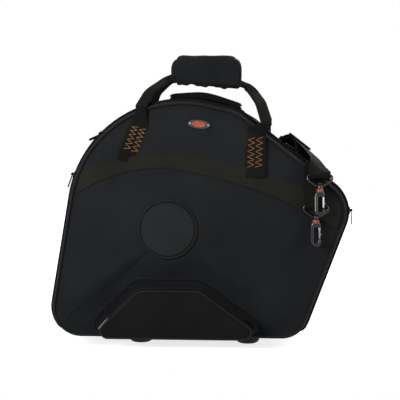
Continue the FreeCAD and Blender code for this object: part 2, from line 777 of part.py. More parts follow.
def strip(points, radius, width):
    """Closed outline of a strip of that width along an open path."""
    pieces = path_arcs(points, radius)
    one_side = [beside(piece, width / 2) for piece in pieces]
    other = [beside(piece, -width / 2) for piece in pieces]
    other = [(end, middle, start, straight) for start, middle, end, straight in reversed(other)]
    cap = [(one_side[-1][2], None, other[0][0], True)]
    foot_cap = [(other[-1][2], None, one_side[0][0], True)]
    return one_side + cap + other + foot_cap


def handle(pivot_depth, towards):
    """Web of one handle and the space that it takes in the grip; towards is 1 for the front one."""
    left = Vector(LEFT_PIVOT[0], pivot_depth, LEFT_PIVOT[1])
    right = Vector(RIGHT_PIVOT[0], pivot_depth, RIGHT_PIVOT[1])
    seat = Vector(
        size.grip_middle,
        size.grip_place - towards * size.web_drop,
        floor + size.grip_height - size.web_drop,
    )
    along = (right - left).normalize()
    rise = (seat - left) - along * (seat - left).dot(along)
    length = (right - left).Length
    points = [(length * u, rise.Length * v) for u, v in WEB_SHARES]
    up = Vector(rise).normalize()
    place = frame_at(left, along, up)

    def sheet_of(width, thick):
        outline = strip(points, size.web_round, width)
        face = Part.Face(wire_of(outline, 0))
        solid = face.extrude(DEEP * thick)
        solid.translate(DEEP * (-thick / 2))
        solid.rotate(Vector(), Vector(1, 0, 0), -90)
        return put(solid, place)

    web = sheet_of(size.web_width, size.web_thick)
    space = sheet_of(size.web_width + 2 * size.fit_gap, size.web_thick + 2 * size.fit_gap)
    for pivot in (left, right):
        half = along * (size.web_width / 2)
        web = web.fuse(rod(pivot - half, pivot + half, size.web_thick / 2))
    return web, space


def grip_roll():
    """The whole padded grip before it is split."""
    low = size.grip_middle - size.grip_long / 2
    deep = size.grip_deep / 2
    tall = size.grip_tall / 2
    corners = [
        (-deep, -tall, size.grip_round),
        (-deep, tall, size.grip_round),
        (deep, tall, size.grip_round),
        (deep, -tall, size.grip_round),
    ]
    roll = prism(strokes(corners, 0), 0, size.grip_long)
    ends = edges_at(roll, 0) + edges_at(roll, size.grip_long)
    roll = roll.makeFillet(size.grip_end_round, ends)
    place = frame_at(
        Vector(low + size.grip_long, size.grip_place, floor + size.grip_height),
        Vector(0, 1, 0),
        Vector(-1, 0, 0),
    )
    return put(roll, place)


roll = grip_roll()
for label, pivot_depth, towards in (("front", front_pivot, 1), ("rear", rear_pivot, -1)):
    web, space = handle(pivot_depth, towards)
    node(label + "_web", web)
    seam = size.grip_place - towards * size.fit_gap / 2
    far = seam - towards * size.grip_deep
    side = sorted([seam, far])
    half = block(
        Vector(-size.low_left_reach, side[0], floor),
        Vector(size.elbow_reach, side[1], floor + 2 * size.grip_height),
    )
    node(label + "_grip", roll.common(half).cut(space))

# Haul handle: a low webbing arch over the crown, sewn down at both ends
haul_left = size.grip_middle - size.haul_long / 2
haul_right = size.grip_middle + size.haul_long / 2
haul_front = size.haul_place - size.haul_wide / 2
haul_back = size.haul_place + size.haul_wide / 2


def over_crown(left, right):
    return block(
        Vector(left, haul_front - size.overrun, floor + size.elbow_height),
        Vector(right, haul_back + size.overrun, floor + 2 * size.crown_height),
    )


haul_top = size.haul_rise + size.haul_thick
arch = ring(haul_top, size.haul_rise, haul_front, haul_back).common(over_crown(haul_left, haul_right))
for left, right in (
    (haul_left, haul_left + size.haul_end),
    (haul_right - size.haul_end, haul_right),
):
    arch = arch.fuse(ring(haul_top, 0, haul_front, haul_back).common(over_crown(left, right)))
node("haul_handle", arch)


# Places on the gusset: a placement whose X runs along the outline and whose Z points outwards
def arc_centre(index):
    x, z, radius = CASE[index]
    after = CASE[(index + 1) % len(CASE)]
    return corner_arc(CASE[index - 1], (x, z), after, radius)[3]


def on_arc(index, angle, depth, downhill):
    """A place on a corner arc; downhill is 1 where X runs with the angle and -1 against it."""
    centre = arc_centre(index)
    radius = CASE[index][2]
    turn = math.radians(angle)
    out_x, out_z = math.cos(turn), math.sin(turn)
    origin = Vector(centre[0] + radius * out_x, depth, centre[1] + radius * out_z)
    along = Vector(-out_z * downhill, 0, out_x * downhill)
    return frame_at(origin, along, DEEP * -downhill)


SLOPE = case(0)[5]
slope_x, slope_z = unit(SLOPE[2][0] - SLOPE[0][0], SLOPE[2][1] - SLOPE[0][1])
DOWN_SLOPE = Vector(slope_x, 0, slope_z)
OFF_SLOPE = Vector(-slope_z, 0, slope_x)


def on_slope(across, depth, lift):
    """A point above the straight slope at the right shoulder."""
    share = (across - SLOPE[0][0]) / slope_x
    return Vector(across, depth, SLOPE[0][1] + share * slope_z) + OFF_SLOPE * lift


def plate(outline, thick):
    """A flat piece in the local XY plane, centred on it."""
    solid = prism(outline, -thick / 2, thick / 2)
    solid.rotate(Vector(), Vector(1, 0, 0), -90)
    return solid


# Rings on webbing tabs
ring_bore = size.ring_wire * size.bore_share + size.fit_gap
ring_lift = ring_bore + size.ring_tab_thick


def ring_tab(place):
    """Webbing sewn along the gusset and turned round the ring's bar."""
    half = size.ring_tab_width / 2
    area = block(
        Vector(-size.ring_tab_long, -half, -size.shell_wall),
        Vector(0, half, size.shell_wall),
    )
    sewn = ring(size.ring_tab_thick, 0, size.ring_place - half, size.ring_place + half)
    sewn = sewn.common(put(area, place))
    axis = [Vector(0, side * half, ring_lift) for side in (-1, 1)]
    turned = rod(axis[0], axis[1], ring_lift - size.fit_gap / 2)
    bore = rod(axis[0] * 1, axis[1] * 1, ring_bore)
    return sewn.fuse(put(turned, place)).cut(put(bore, place))


def ring_loop(place, raised):
    """A D shape whose straight bar lies in the tab's fold."""
    half = size.ring_width / 2
    wire = size.ring_wire
    corners = [
        (-wire / 2, -half, wire * 1.1),
        (-wire / 2, half, wire * 1.1),
        (size.ring_length, half, size.ring_length * 0.6),
        (size.ring_length, -half, size.ring_length * 0.6),
    ]
    loop = plate(strokes(corners, 0), wire).cut(plate(strokes(corners, -wire), wire + size.overrun))
    tilt = FreeCAD.Placement(Vector(0, 0, ring_lift), FreeCAD.Rotation(Vector(0, -1, 0), raised))
    return put(put(loop, tilt), place)


left_ring_place = on_arc(1, size.left_ring_angle, size.ring_place, 1)
right_ring_place = frame_at(
    on_slope(size.elbow_reach - size.right_ring_inset, size.ring_place, 0),
    DOWN_SLOPE,
    DEEP,
)
node("left_ring_tab", ring_tab(left_ring_place))
node("right_ring_tab", ring_tab(right_ring_place))
node("left_ring", ring_loop(left_ring_place, size.ring_raise))
node("right_ring", ring_loop(right_ring_place, 0))


# Shoulder strap: folded double over the right shoulder, its loop behind the case
def ribbon(stations):
    """A flat band through stations of (middle, across, outwards)."""
    wires = []
    for middle, across, outwards in stations:
        w = Vector(across).normalize() * (size.strap_width / 2)
        t = Vector(outwards).normalize() * (size.strap_thick / 2)
        corners = [middle - w - t, middle + w - t, middle + w + t, middle - w + t]
        wires.append(Part.makePolygon(corners + corners[:1]))
    return Part.makeLoft(wires, True, True)


ACROSS = Vector(1, 0, 0)
UP = Vector(0, 0, 1)
strap_layer = size.strap_thick + size.fit_gap
strap_front = size.elbow_reach - size.strap_front_inset
strap_back = size.elbow_reach - size.strap_back_inset
hang_place = base_face + size.piping_rise + size.fit_gap + size.strap_thick / 2
# Each station of the crossing: share of the way to the back, and share of the arch
CROSSING_SHARES = [(0.0, 0.0), (0.3, 1.0), (0.6, 1.0), (0.9, 1.0), (0.98, 0.4)]


def strap_crossing(layer):
    stations = []
    for back, arch_share in CROSSING_SHARES:
        across = strap_front + (strap_back - strap_front) * back
        lift = size.strap_skim + (size.strap_arch - size.strap_skim) * arch_share + layer
        stations.append((on_slope(across, base_rim + size.base_depth * back, lift), DOWN_SLOPE, OFF_SLOPE))
    edge = on_slope(strap_back, hang_place, size.strap_thick) + (OFF_SLOPE + DEEP) * (layer / 2)
    stations.append((edge, DOWN_SLOPE, OFF_SLOPE + DEEP))
    return stations


loop_top = on_slope(strap_back, hang_place, -size.strap_width / 2)
loop_half = size.strap_belly / 2
shallow = Vector(loop_top)
down = strap_crossing(0)
down.append((shallow, DOWN_SLOPE + ACROSS, DEEP))
low = shallow - UP * (size.strap_drop - loop_half)
down.append((low, ACROSS, DEEP))
turn_middle = low + DEEP * loop_half
for degrees in (45, 90, 135):
    turn = math.radians(degrees)
    radial = DEEP * -math.cos(turn) - UP * math.sin(turn)
    down.append((turn_middle + radial * loop_half, ACROSS, radial * -1))
down.append((low + DEEP * size.strap_belly, ACROSS, DEEP * -1))
belly_share = 0.6
middle_way = shallow - UP * (size.strap_drop * (1 - belly_share)) + DEEP * (size.strap_belly * belly_share)
down.append((middle_way, ACROSS, DEEP * -1))
down.append((shallow + DEEP * strap_layer, DOWN_SLOPE + ACROSS, DEEP * -1))
for middle, across, outwards in reversed(strap_crossing(strap_layer)):
    down.append((middle, across, outwards * -1))
node("strap_loop", ribbon(down))

# Tri-glide on the outer layer of the strap
glide_lift = size.strap_arch + strap_layer + (size.strap_thick + size.glide_wire) / 2
glide_share = 0.75
glide_across = strap_front + (strap_back - strap_front) * glide_share
glide_place = frame_at(
    on_slope(glide_across, base_rim + size.base_depth * glide_share, glide_lift),
    DOWN_SLOPE,
    DEEP,
)
glide_wide = size.strap_width + 2 * size.glide_margin
half_wide, half_long = glide_wide / 2, size.glide_long / 2
glide_corners = [
    (-half_wide, -half_long, size.glide_wire * 1.2),
    (-half_wide, half_long, size.glide_wire * 1.2),
    (half_wide, half_long, size.glide_wire * 1.2),
    (half_wide, -half_long, size.glide_wire * 1.2),
]
glide = plate(strokes(glide_corners, 0), size.glide_wire)
glide = glide.cut(plate(strokes(glide_corners, -size.glide_wire), size.glide_wire + size.overrun))
middle_bar = block(
    Vector(-half_wide + size.glide_wire / 2, -size.glide_wire / 2, -size.glide_wire / 2),
    Vector(half_wide - size.glide_wire / 2, size.glide_wire / 2, size.glide_wire / 2),
)
node("tri_glide", put(glide.fuse(middle_bar), glide_place))

# Strap ends on the lid, each turned round the bar of its snap hook's eye
upper_bar = Vector(
    size.elbow_reach - size.upper_bar_inset,
    lid_face - size.upper_stand,
    floor + size.elbow_height + size.upper_bar_rise,
)
lower_bar = Vector(
    size.elbow_reach - size.lower_bar_inset,
    lid_face - size.lower_stand,
    upper_bar.z - size.bar_spacing,
)
eye_bore = size.eye_wire * size.bore_share + size.fit_gap
fold_radius = eye_bore + size.strap_thick


def strap_end(bar, stations):
    half = ACROSS * (size.strap_width / 2)
    fold = rod(bar - half, bar + half, fold_radius)
    return ribbon(stations).fuse(fold).cut(rod(bar - half, bar + half, eye_bore))


def over_rim(across, depth, lift):
    return on_slope(across, depth, size.strap_skim + lift), DOWN_SLOPE, OFF_SLOPE


wall_middle = fold_radius - size.strap_thick / 2
upper_edge = on_slope(strap_front + size.strap_thick, lid_face, size.strap_skim + 2 * strap_layer)
upper_lay = UP * 2 - DEEP
upper_middle = (upper_edge + upper_bar + UP * wall_middle) * 0.5 + UP * size.strap_thick
node(
    "strap_end_upper",
    strap_end(
        upper_bar,
        [
            over_rim(strap_front, lid_rim, strap_layer),
            (upper_edge, DOWN_SLOPE, OFF_SLOPE),
            (upper_middle, ACROSS + DOWN_SLOPE, upper_lay),
            (upper_bar + UP * wall_middle, ACROSS, UP),
        ],
    ),
)
edge_front = lid_face - size.piping_rise - size.fit_gap - size.strap_thick / 2
lower_edge = on_slope(strap_front + size.strap_thick, edge_front, 0)
lower_fold = lower_bar + UP * wall_middle
lower_lay = UP - DEEP * 3
flat_share = 0.45
node(
    "strap_end_lower",
    strap_end(
        lower_bar,
        [
            over_rim(strap_front, lid_rim, 0),
            (on_slope(strap_front, lid_face + size.lid_edge_round, size.strap_skim), DOWN_SLOPE, OFF_SLOPE),
            (lower_edge, DOWN_SLOPE + ACROSS, OFF_SLOPE - DEEP * 2),
            (lower_edge + (lower_fold - lower_edge) * flat_share, ACROSS, lower_lay),
            (lower_fold, ACROSS, lower_lay),
        ],
    ),
)


# Snap hooks: an eye with a barrel, a hook that swivels in it, and a sprung gate
def snap_hook(label, bar, lean):
    place = FreeCAD.Placement(bar, FreeCAD.Rotation(ACROSS, -lean))
    wire = size.eye_wire
    wide = size.eye_width / 2
    drop = -size.eye_height
    neck = size.swivel_radius + wire / 2
    corners = [
        (-neck, drop, wire * 1.25),
        (-wide, drop * 0.45, wire * 1.25),
        (-wide, wire / 2, wire * 1.25),
        (wide, wire / 2, wire * 1.25),
        (wide, drop * 0.45, wire * 1.25),
        (neck, drop, wire * 1.25),
    ]
    eye = prism(strokes(corners, 0), -wire / 2, wire / 2)
    eye = eye.cut(prism(strokes(corners, -wire), -wire, wire))
    barrel_foot = drop - size.swivel_long
    barrel = rod(Vector(0, 0, drop + wire / 2), Vector(0, 0, barrel_foot), size.swivel_radius)
    bore = rod(
        Vector(0, 0, barrel_foot - size.overrun),
        Vector(0, 0, drop + wire + size.overrun),
        size.post_radius + size.post_play,
    )
    inner_floor = drop + wire
    barrel = barrel.common(block(Vector(-wide, -wide, barrel_foot), Vector(wide, wide, inner_floor)))
    node(label + "_eye", put(eye.fuse(barrel).cut(bore), place))

    # Hook body, measured down from its shoulder
    top = barrel_foot - size.fit_gap
    half = size.hook_width / 2
    thick = size.hook_thick / 2
    arm = size.hook_wire
    curl = top - size.hook_long + half
    head_foot = inner_floor + size.fit_gap
    post = rod(Vector(0, 0, top - size.fit_gap), Vector(0, 0, head_foot + wire / 3), size.post_radius)
    head = rod(Vector(0, 0, head_foot), Vector(0, 0, head_foot + wire / 3), size.post_radius * 1.6)
    shoulder = block(Vector(-half, -thick, top - size.shoulder_tall), Vector(half, thick, top))
    top_edges = [e for e in shoulder.Edges if abs(e.CenterOfMass.z - top) < wire / 9]
    corner_edges = [e for e in top_edges if e.Length < size.hook_width - wire]
    shoulder = shoulder.makeFillet(size.post_radius, corner_edges)
    spine = block(Vector(-half, -thick, curl), Vector(-half + arm, thick, top - size.shoulder_tall))
    tip = rod(Vector(0, -thick, curl), Vector(0, thick, curl), half)
    tip = tip.cut(rod(Vector(0, -thick * 2, curl), Vector(0, thick * 2, curl), half - arm))
    tip = tip.common(block(Vector(-half, -thick, curl - half), Vector(half, thick, curl)))
    nose_top = curl + arm
    nose = block(Vector(half - arm, -thick, curl), Vector(half, thick, nose_top))
    body = post.fuse([head, shoulder, spine, tip, nose])

    # Gate: pinned in a slot of the shoulder, its end behind the nose
    pivot_x = half - arm / 2
    pivot_z = top - size.shoulder_tall * 0.6
    gate_thick = size.hook_thick * 0.45
    slot = block(
        Vector(-size.fit_gap, -gate_thick / 2 - size.fit_gap, top - size.shoulder_tall - size.overrun),
        Vector(half + size.overrun, gate_thick / 2 + size.fit_gap, pivot_z + arm / 2 + size.fit_gap),
    )
    pin = rod(Vector(pivot_x, -thick, pivot_z), Vector(pivot_x, thick, pivot_z), size.gate_pin)
    body = body.cut(slot).fuse(pin)
    node(label + "_hook", put(body, place))
    gate = block(
        Vector(pivot_x - arm * 0.38, -gate_thick / 2, nose_top + size.fit_gap),
        Vector(pivot_x + arm * 0.38, gate_thick / 2, pivot_z),
    )
    knuckle = rod(
        Vector(pivot_x, -gate_thick / 2, pivot_z),
        Vector(pivot_x, gate_thick / 2, pivot_z),
        arm / 2,
    )
    gate_bore = rod(
        Vector(pivot_x, -thick, pivot_z),
        Vector(pivot_x, thick, pivot_z),
        size.gate_pin + size.post_play,
    )
    node(label + "_gate", put(gate.fuse(knuckle).cut(gate_bore), place))
    print(label, "gate pivot", place.multVec(Vector(pivot_x, 0, pivot_z)))


snap_hook("upper", upper_bar, size.upper_lean)
snap_hook("lower", lower_bar, size.lower_lean)


# Zip sliders: a body over the coil, two lugs and a pin that carries the pull
def zip_slider(label, place, seat):
    half_long, half_wide = size.slider_long / 2, size.slider_wide / 2
    top = seat + size.slider_tall
    body = block(Vector(-half_long, -half_wide, seat), Vector(half_long, half_wide, top))
    uprights = [e for e in body.Edges if e.BoundBox.ZLength > size.slider_tall / 2]
    body = body.makeFillet(size.slider_tall * 0.9, uprights)
    pin_z = top + size.bail_tall / 2
    eye_half = size.pull_wide * 0.3
    for side in (-1, 1):
        near = side * (eye_half + size.fit_gap)
        far = side * (eye_half + size.fit_gap + size.bail_wire)
        edges = sorted([near, far])
        lug = block(
            Vector(-size.bail_tall / 2, edges[0], top),
            Vector(size.bail_tall / 2, edges[1], top + size.bail_tall),
        )
        body = body.fuse(lug)
    pin_half = eye_half + size.fit_gap + size.bail_wire / 2
    pin = rod(Vector(0, -pin_half, pin_z), Vector(0, pin_half, pin_z), size.bail_wire / 2)
    node(label + "_slider", put(body.fuse(pin), place))
    grip_half = size.pull_wide / 2
    start = math.hypot(size.bail_tall, size.bail_tall) / 2 + size.fit_gap
    corners = [
        (start, -grip_half, size.pull_thick),
        (start, grip_half, size.pull_thick),
        (size.pull_long, grip_half, grip_half * 0.9),
        (size.pull_long, -grip_half, grip_half * 0.9),
    ]
    tag = plate(strokes(corners, 0), size.pull_thick)
    hole = rod(
        Vector(size.pull_long - grip_half * 1.6, 0, -size.overrun),
        Vector(size.pull_long - grip_half * 1.6, 0, size.overrun),
        size.pull_hole * 0.6,
    )
    tag = tag.cut(hole)
    tag.translate(UP * pin_z)
    neck = block(
        Vector(0, -eye_half, pin_z - size.pull_thick / 2),
        Vector(start + size.pull_thick, eye_half, pin_z + size.pull_thick / 2),
    )
    knuckle = rod(Vector(0, -eye_half, pin_z), Vector(0, eye_half, pin_z), size.pull_hole)
    bore = rod(
        Vector(0, -size.pull_wide, pin_z),
        Vector(0, size.pull_wide, pin_z),
        size.bail_wire / 2 + size.post_play,
    )
    node(label + "_pull", put(tag.fuse(neck).fuse(knuckle).cut(bore), place))
    print(label, "pull pin", place.multVec(Vector(0, 0, pin_z)), "along", place.Rotation.multVec(ACROSS))


main_seat = size.tape_thick + size.coil_rise + size.fit_gap
zip_slider("left_zip", on_arc(1, size.left_slider_angle, size.parting_place, 1), main_seat)
zip_slider("right_zip", on_arc(3, size.right_slider_angle, size.parting_place, -1), main_seat)
POCKET_SIDE = pocket(0)[1]
side_x, side_z = unit(POCKET_SIDE[0][0] - POCKET_SIDE[2][0], POCKET_SIDE[0][1] - POCKET_SIDE[2][1])
pocket_spot = between(POCKET_SIDE[0], POCKET_SIDE[2], size.pocket_slider_share)
pocket_slider_place = frame_at(
    Vector(pocket_spot[0], size.pocket_zip - size.coil_width, pocket_spot[1]),
    Vector(side_x, 0, side_z),
    DEEP * -1,
)
zip_slider("pocket_zip", pocket_slider_place, size.coil_rise + size.fit_gap)

# Foam insert: cavities for the bell and the tubing, and a bin for small things
insert_front = size.parting_place + size.insert_face
insert_back = base_face - size.shell_wall - size.insert_gap
cavity_back = insert_back - size.insert_floor
insert = prism(case(-size.shell_wall - size.insert_gap), insert_front, insert_back)
insert = insert.makeFillet(size.base_edge_round - size.shell_wall, edges_at(insert, insert_back))


def bored(across, up, radius):
    start = Vector(across, insert_front - size.overrun, floor + up)
    return rod(start, Vector(across, cavity_back, floor + up), radius)


insert = insert.cut(bored(-size.disc_reach, size.bell_height, size.bell_radius))
insert = insert.cut(bored(size.elbow_reach - size.coil_inset, size.coil_height, size.coil_radius))
bin_middle = size.elbow_reach - size.bin_inset
half_bin = size.bin_wide / 2
insert = insert.cut(
    block(
        Vector(bin_middle - half_bin, insert_front - size.overrun, floor + size.bin_foot),
        Vector(bin_middle + half_bin, insert_front + size.bin_deep, floor + size.bin_foot + size.bin_tall),
    )
)
node("base_insert", insert)
node(
    "horn_strap",
    block(
        Vector(
            size.horn_strap_left_inset - size.low_left_reach,
            insert_front - size.horn_strap_thick,
            floor + size.horn_strap_height,
        ),
        Vector(
            size.elbow_reach - size.horn_strap_right_inset,
            insert_front,
            floor + size.horn_strap_height + size.horn_strap_width,
        ),
    ),
)
pad_front = lid_face + size.shell_wall + size.insert_gap
node(
    "lid_pad",
    ring(
        -size.shell_wall - size.insert_gap,
        -size.shell_wall - size.insert_gap - size.pad_ring,
        pad_front,
        pad_front + size.pad_thick,
    ),
)

# Check every object, then write one file for each sub-part
doc.recompute()
for thing in doc.Objects:
    if "Invalid" in thing.State or "Error" in thing.State:
        raise RuntimeError("%s failed: %s" % (thing.Label, thing.State))
for label, thing in nodes.items():
    if thing.Shape.isNull() or not thing.Shape.isValid():
        raise RuntimeError("%s has no valid shape" % label)
for label, thing in nodes.items():
    thing.Shape.exportStep("parts/%s.step" % label)
print(len(nodes), "sub-parts")
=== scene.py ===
import math

import bmesh
import bpy
import numpy as np
from mathutils import Matrix, Vector, noise
from mathutils.bvhtree import BVHTree


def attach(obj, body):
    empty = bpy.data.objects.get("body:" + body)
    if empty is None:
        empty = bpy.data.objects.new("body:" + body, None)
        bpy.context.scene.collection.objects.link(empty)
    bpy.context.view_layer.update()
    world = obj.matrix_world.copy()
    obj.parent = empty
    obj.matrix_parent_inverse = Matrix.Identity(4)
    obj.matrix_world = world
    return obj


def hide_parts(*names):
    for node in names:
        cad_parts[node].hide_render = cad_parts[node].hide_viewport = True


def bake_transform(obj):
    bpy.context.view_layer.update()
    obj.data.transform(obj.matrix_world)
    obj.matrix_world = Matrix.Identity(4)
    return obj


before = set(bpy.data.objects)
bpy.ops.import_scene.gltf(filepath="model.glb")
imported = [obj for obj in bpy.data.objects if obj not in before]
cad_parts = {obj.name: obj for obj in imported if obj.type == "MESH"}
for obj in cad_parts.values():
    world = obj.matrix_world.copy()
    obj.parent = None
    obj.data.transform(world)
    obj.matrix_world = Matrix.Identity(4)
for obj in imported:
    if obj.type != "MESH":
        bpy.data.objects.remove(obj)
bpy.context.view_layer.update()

# Lengths are millimetres until make() scales them. x is to the right, y to the rear and z up.
MM = 0.001
X, Y, Z = np.eye(3)

# Outlines seen from the front: x, z and radius of each corner
FLOOR = 22.0
CASE = [(-277, FLOOR, 52), (-196, FLOOR + 469, 205), (67, FLOOR + 407.5, 70), (273, FLOOR + 247.5, 58),
        (180.5, FLOOR, 48)]
POCKET = [(-193, FLOOR + 8, 14), (-105, FLOOR + 96, 32), (3, FLOOR + 96, 32), (124, FLOOR + 8, 14)]
SEAT = [(-215, FLOOR + 8, 18), (-113, FLOOR + 112, 34), (6, FLOOR + 112, 34), (143, FLOOR + 8, 18)]
LONG_ARC = 150  # a corner with a larger radius gets more points

# Centres of the round panel and of the case, seen from the front
DISC = np.array([-53.0, FLOOR + 203.0])
CORE = np.array([-10.0, FLOOR + 201.0])

# Depths of the rims and faces
LID_RIM, BASE_RIM, LID_FACE, BASE_FACE = -55.3, -54.7, -85.0, 115.0
# The lid's bulge: height, radius at its top, distance of its foot from the edge, and the edge's rounding
BULGE, MOUTH, INSET, EDGE = 50.0, 53.0, 9.5, 5.0
# Outward from the right slope (x, z), and down along it
OFF_SLOPE = (0.6134, 0.790)


# Small helpers for outlines, grids and sweeps
def smooth(a, b, x):
    """0 up to a, 1 from b on, and a soft step between."""
    t = np.clip((np.asarray(x, float) - a) / (b - a), 0, 1)
    return t * t * (3 - 2 * t)


def unit(v):
    """One vector or rows of vectors, brought to length 1."""
    v = np.asarray(v, float)
    return v / np.linalg.norm(v, axis=-1, keepdims=True)


def run_along(path):
    """Distance along a path, at each of its points."""
    return np.concatenate([[0], np.cumsum(np.linalg.norm(np.diff(path, axis=0), axis=1))])


def directions(path, closed=False):
    """Unit tangents of a path."""
    return unit(np.roll(path, -1, 0) - np.roll(path, 1, 0) if closed else np.gradient(path, axis=0))


def read_at(at, known, rows):
    """Rows of numbers read at other places than the known ones."""
    return np.stack([np.interp(at, known, column) for column in rows.T], 1)


def even(path, step):
    """The path with points at even distances."""
    path = np.asarray(path, float)
    run = run_along(path)
    count = max(2, int(round(run[-1] / step)) + 1)
    return read_at(np.linspace(0, run[-1], count), run, path)


def at_depth(q, y):
    """Points x, z of a front view at a depth, or at a depth each."""
    return np.stack([q[:, 0], np.broadcast_to(y, len(q)), q[:, 1]], 1)


def outline(corners, grow, arc=14, line=20, long_arc=40):
    """Points of a rounded outline; growth keeps the number of points."""
    arcs = []
    for i, (x, z, r) in enumerate(corners):
        corner = np.array([x, z], float)
        sides = [unit(np.array(corners[j][:2]) - corner) for j in (i - 1, (i + 1) % len(corners))]
        half = math.acos(float(sides[0] @ sides[1])) / 2
        centre = corner + unit(sides[0] + sides[1]) * r / math.sin(half)
        first, last = (math.atan2(*(corner + side * r / math.tan(half) - centre)[::-1]) for side in sides)
        if last > first:
            last -= 2 * math.pi
        t = np.linspace(first, last, long_arc if r > LONG_ARC else arc)
        arcs.append(centre + (r + grow) * np.stack([np.cos(t), np.sin(t)], 1))
    out = []
    t = np.linspace(0, 1, line + 2)[1:-1, None]
    for now, after in zip(arcs, arcs[1:] + arcs[:1]):
        out += [now, now[-1] + (after[0] - now[-1]) * t]
    return np.concatenate(out)


def make(name, verts, faces, uvs=None, flat=False):
    """An object from points in millimetres."""
    mesh = bpy.data.meshes.new(name)
    points = [tuple(v) for v in np.asarray(verts, float) * MM]
    mesh.from_pydata(points, [], [list(map(int, f)) for f in faces])
    mesh.validate()
    if uvs is not None:
        layer = mesh.uv_layers.new(name="cloth")
        loops = np.zeros(len(mesh.loops), int)
        mesh.loops.foreach_get("vertex_index", loops)
        layer.data.foreach_set("uv", np.asarray(uvs, float)[loops].ravel())
    mesh.polygons.foreach_set("use_smooth", [not flat] * len(mesh.polygons))
    mesh.update()
    obj = bpy.data.objects.new(name, mesh)
    bpy.context.scene.collection.objects.link(obj)
    return obj


def recalc(obj):
    """Welds double points and turns all faces outward."""
    bm = bmesh.new()
    bm.from_mesh(obj.data)
    bmesh.ops.remove_doubles(bm, verts=bm.verts, dist=1e-7)
    bmesh.ops.recalc_face_normals(bm, faces=bm.faces)
    bm.to_mesh(obj.data)
    bm.free()
    obj.data.update()
    return obj


def grid(name, P, close_u=True, close_v=False, caps=False, uv=None):
    """A surface from rows of points, P[v][u]."""
    V, U = P.shape[:2]
    near = np.arange(V * U).reshape(V, U)
    far = np.roll(near, -1, 0)
    quads = np.stack([near, np.roll(near, -1, 1), np.roll(far, -1, 1), far], -1)
    faces = quads[:V if close_v else V - 1, :U if close_u else U - 1].reshape(-1, 4).tolist()
    if caps:
        faces += [near[0, ::-1].tolist(), near[-1].tolist()]
    return make(name, P.reshape(-1, 3), faces, None if uv is None else uv.reshape(-1, 2))


def weave_map(run, across):
    """Texture places from the distances along and across a cloth."""
    return np.stack(np.meshgrid(run, across, indexing="ij"), -1)


def sweep(name, path, section, up=None, closed=False, scale=None):
    """A closed section (side, normal) carried along a path; without up it follows without twist."""
    path = np.asarray(path, float)
    t = directions(path, closed)
    if up is None:
        side = np.zeros_like(t)
        side[0] = unit(np.cross(Z if abs(t[0][2]) < 0.9 else X, t[0]))
        for i in range(1, len(t)):
            side[i] = unit(side[i - 1] - t[i] * (side[i - 1] @ t[i]))
    else:
        side = unit(np.cross(up, t))
    frames = np.stack([side, np.cross(t, side)], 1)
    if scale is not None:
        frames = frames * scale[:, None, None]
    return grid(name, path[:, None] + section @ frames, True, closed, not closed,
                weave_map(run_along(path), run_along(section)))


def circle(r, n=12, ry=None):
    a = np.linspace(0, 2 * math.pi, n, endpoint=False)
    return np.stack([r * np.cos(a), (ry or r) * np.sin(a)], 1)


def tube(name, path, radius, n=10, closed=False):
    return sweep(name, path, circle(radius, n), closed=closed)


def lathe(name, profile, n=20, centre=(0, 0)):
    """A turned body about an upright axis, from radii and heights."""
    rows = [np.column_stack([circle(r, n) + centre, np.full(n, z)]) for r, z in profile]
    return grid(name, np.array(rows), caps=True)


def rounded(half_a, half_b, radius, n=5):
    """Closed section: a rounded rectangle."""
    parts = []
    for sa, sb, start in ((1, 1, 0), (-1, 1, 90), (-1, -1, 180), (1, -1, 270)):
        a = np.radians(np.linspace(start, start + 90, n))
        parts.append(np.stack([sa * (half_a - radius) + radius * np.cos(a),
                               sb * (half_b - radius) + radius * np.sin(a)], 1))
    return np.concatenate(parts)


def slab(w, t):
    """Section of webbing: width w, thickness t, with rounded edges."""
    radius = t * 0.45
    edge = rounded(w / 2, t / 2, radius, 4)
    x = np.linspace(w / 2 - radius, -w / 2 + radius, 7)[1:-1]
    flat = np.stack([x, np.full(5, t / 2)], 1)
    return np.concatenate([edge[:4], flat, edge[4:12], -flat, edge[12:]])


def curve_through(points, per):
    """A smooth path through points, with so many steps between two of them."""
    p = np.asarray(points, float)
    p = np.concatenate([[2 * p[0] - p[1]], p, [2 * p[-1] - p[-2]]])
    t = np.linspace(0, 1, per, endpoint=False)[:, None]
    out = []
    for a, b, c, d in zip(p, p[1:], p[2:], p[3:]):
        bend, twist = 2 * a - 5 * b + 4 * c - d, 3 * b - a - 3 * c + d
        out.append(0.5 * (2 * b + (c - a) * t + bend * t ** 2 + twist * t ** 3))
    return np.concatenate(out + [p[-2:-1]])


def rounded_path(points, radius, step=3.0):
    """A path of straight runs whose corners are rounded."""
    points = [np.asarray(q, float) for q in points]
    out = [points[0]]
    for a, b, c in zip(points[:-2], points[1:-1], points[2:]):
        u, v = unit(a - b), unit(c - b)
        half = math.acos(max(-1, min(1, float(u @ v)))) / 2
        back = min(radius / math.tan(half), 0.49 * np.linalg.norm(a - b), 0.49 * np.linalg.norm(c - b))
        r = back * math.tan(half)
        centre = b + unit(u + v) * (r / math.sin(half))
        s, e = b + u * back, b + v * back
        out += [centre + unit(s + (e - s) * f - centre) * r for f in np.linspace(0, 1, 9)]
    out.append(points[-1])
    return even(np.array(out), step)


def wobble(P, amount, scale, seed=0.0):
    """A soft irregular push for each point."""
    pushes = [noise.noise(Vector((x / scale + seed, y / scale, z / scale))) for x, y, z in P.reshape(-1, 3)]
    return (np.array(pushes) * amount).reshape(P.shape[:-1])


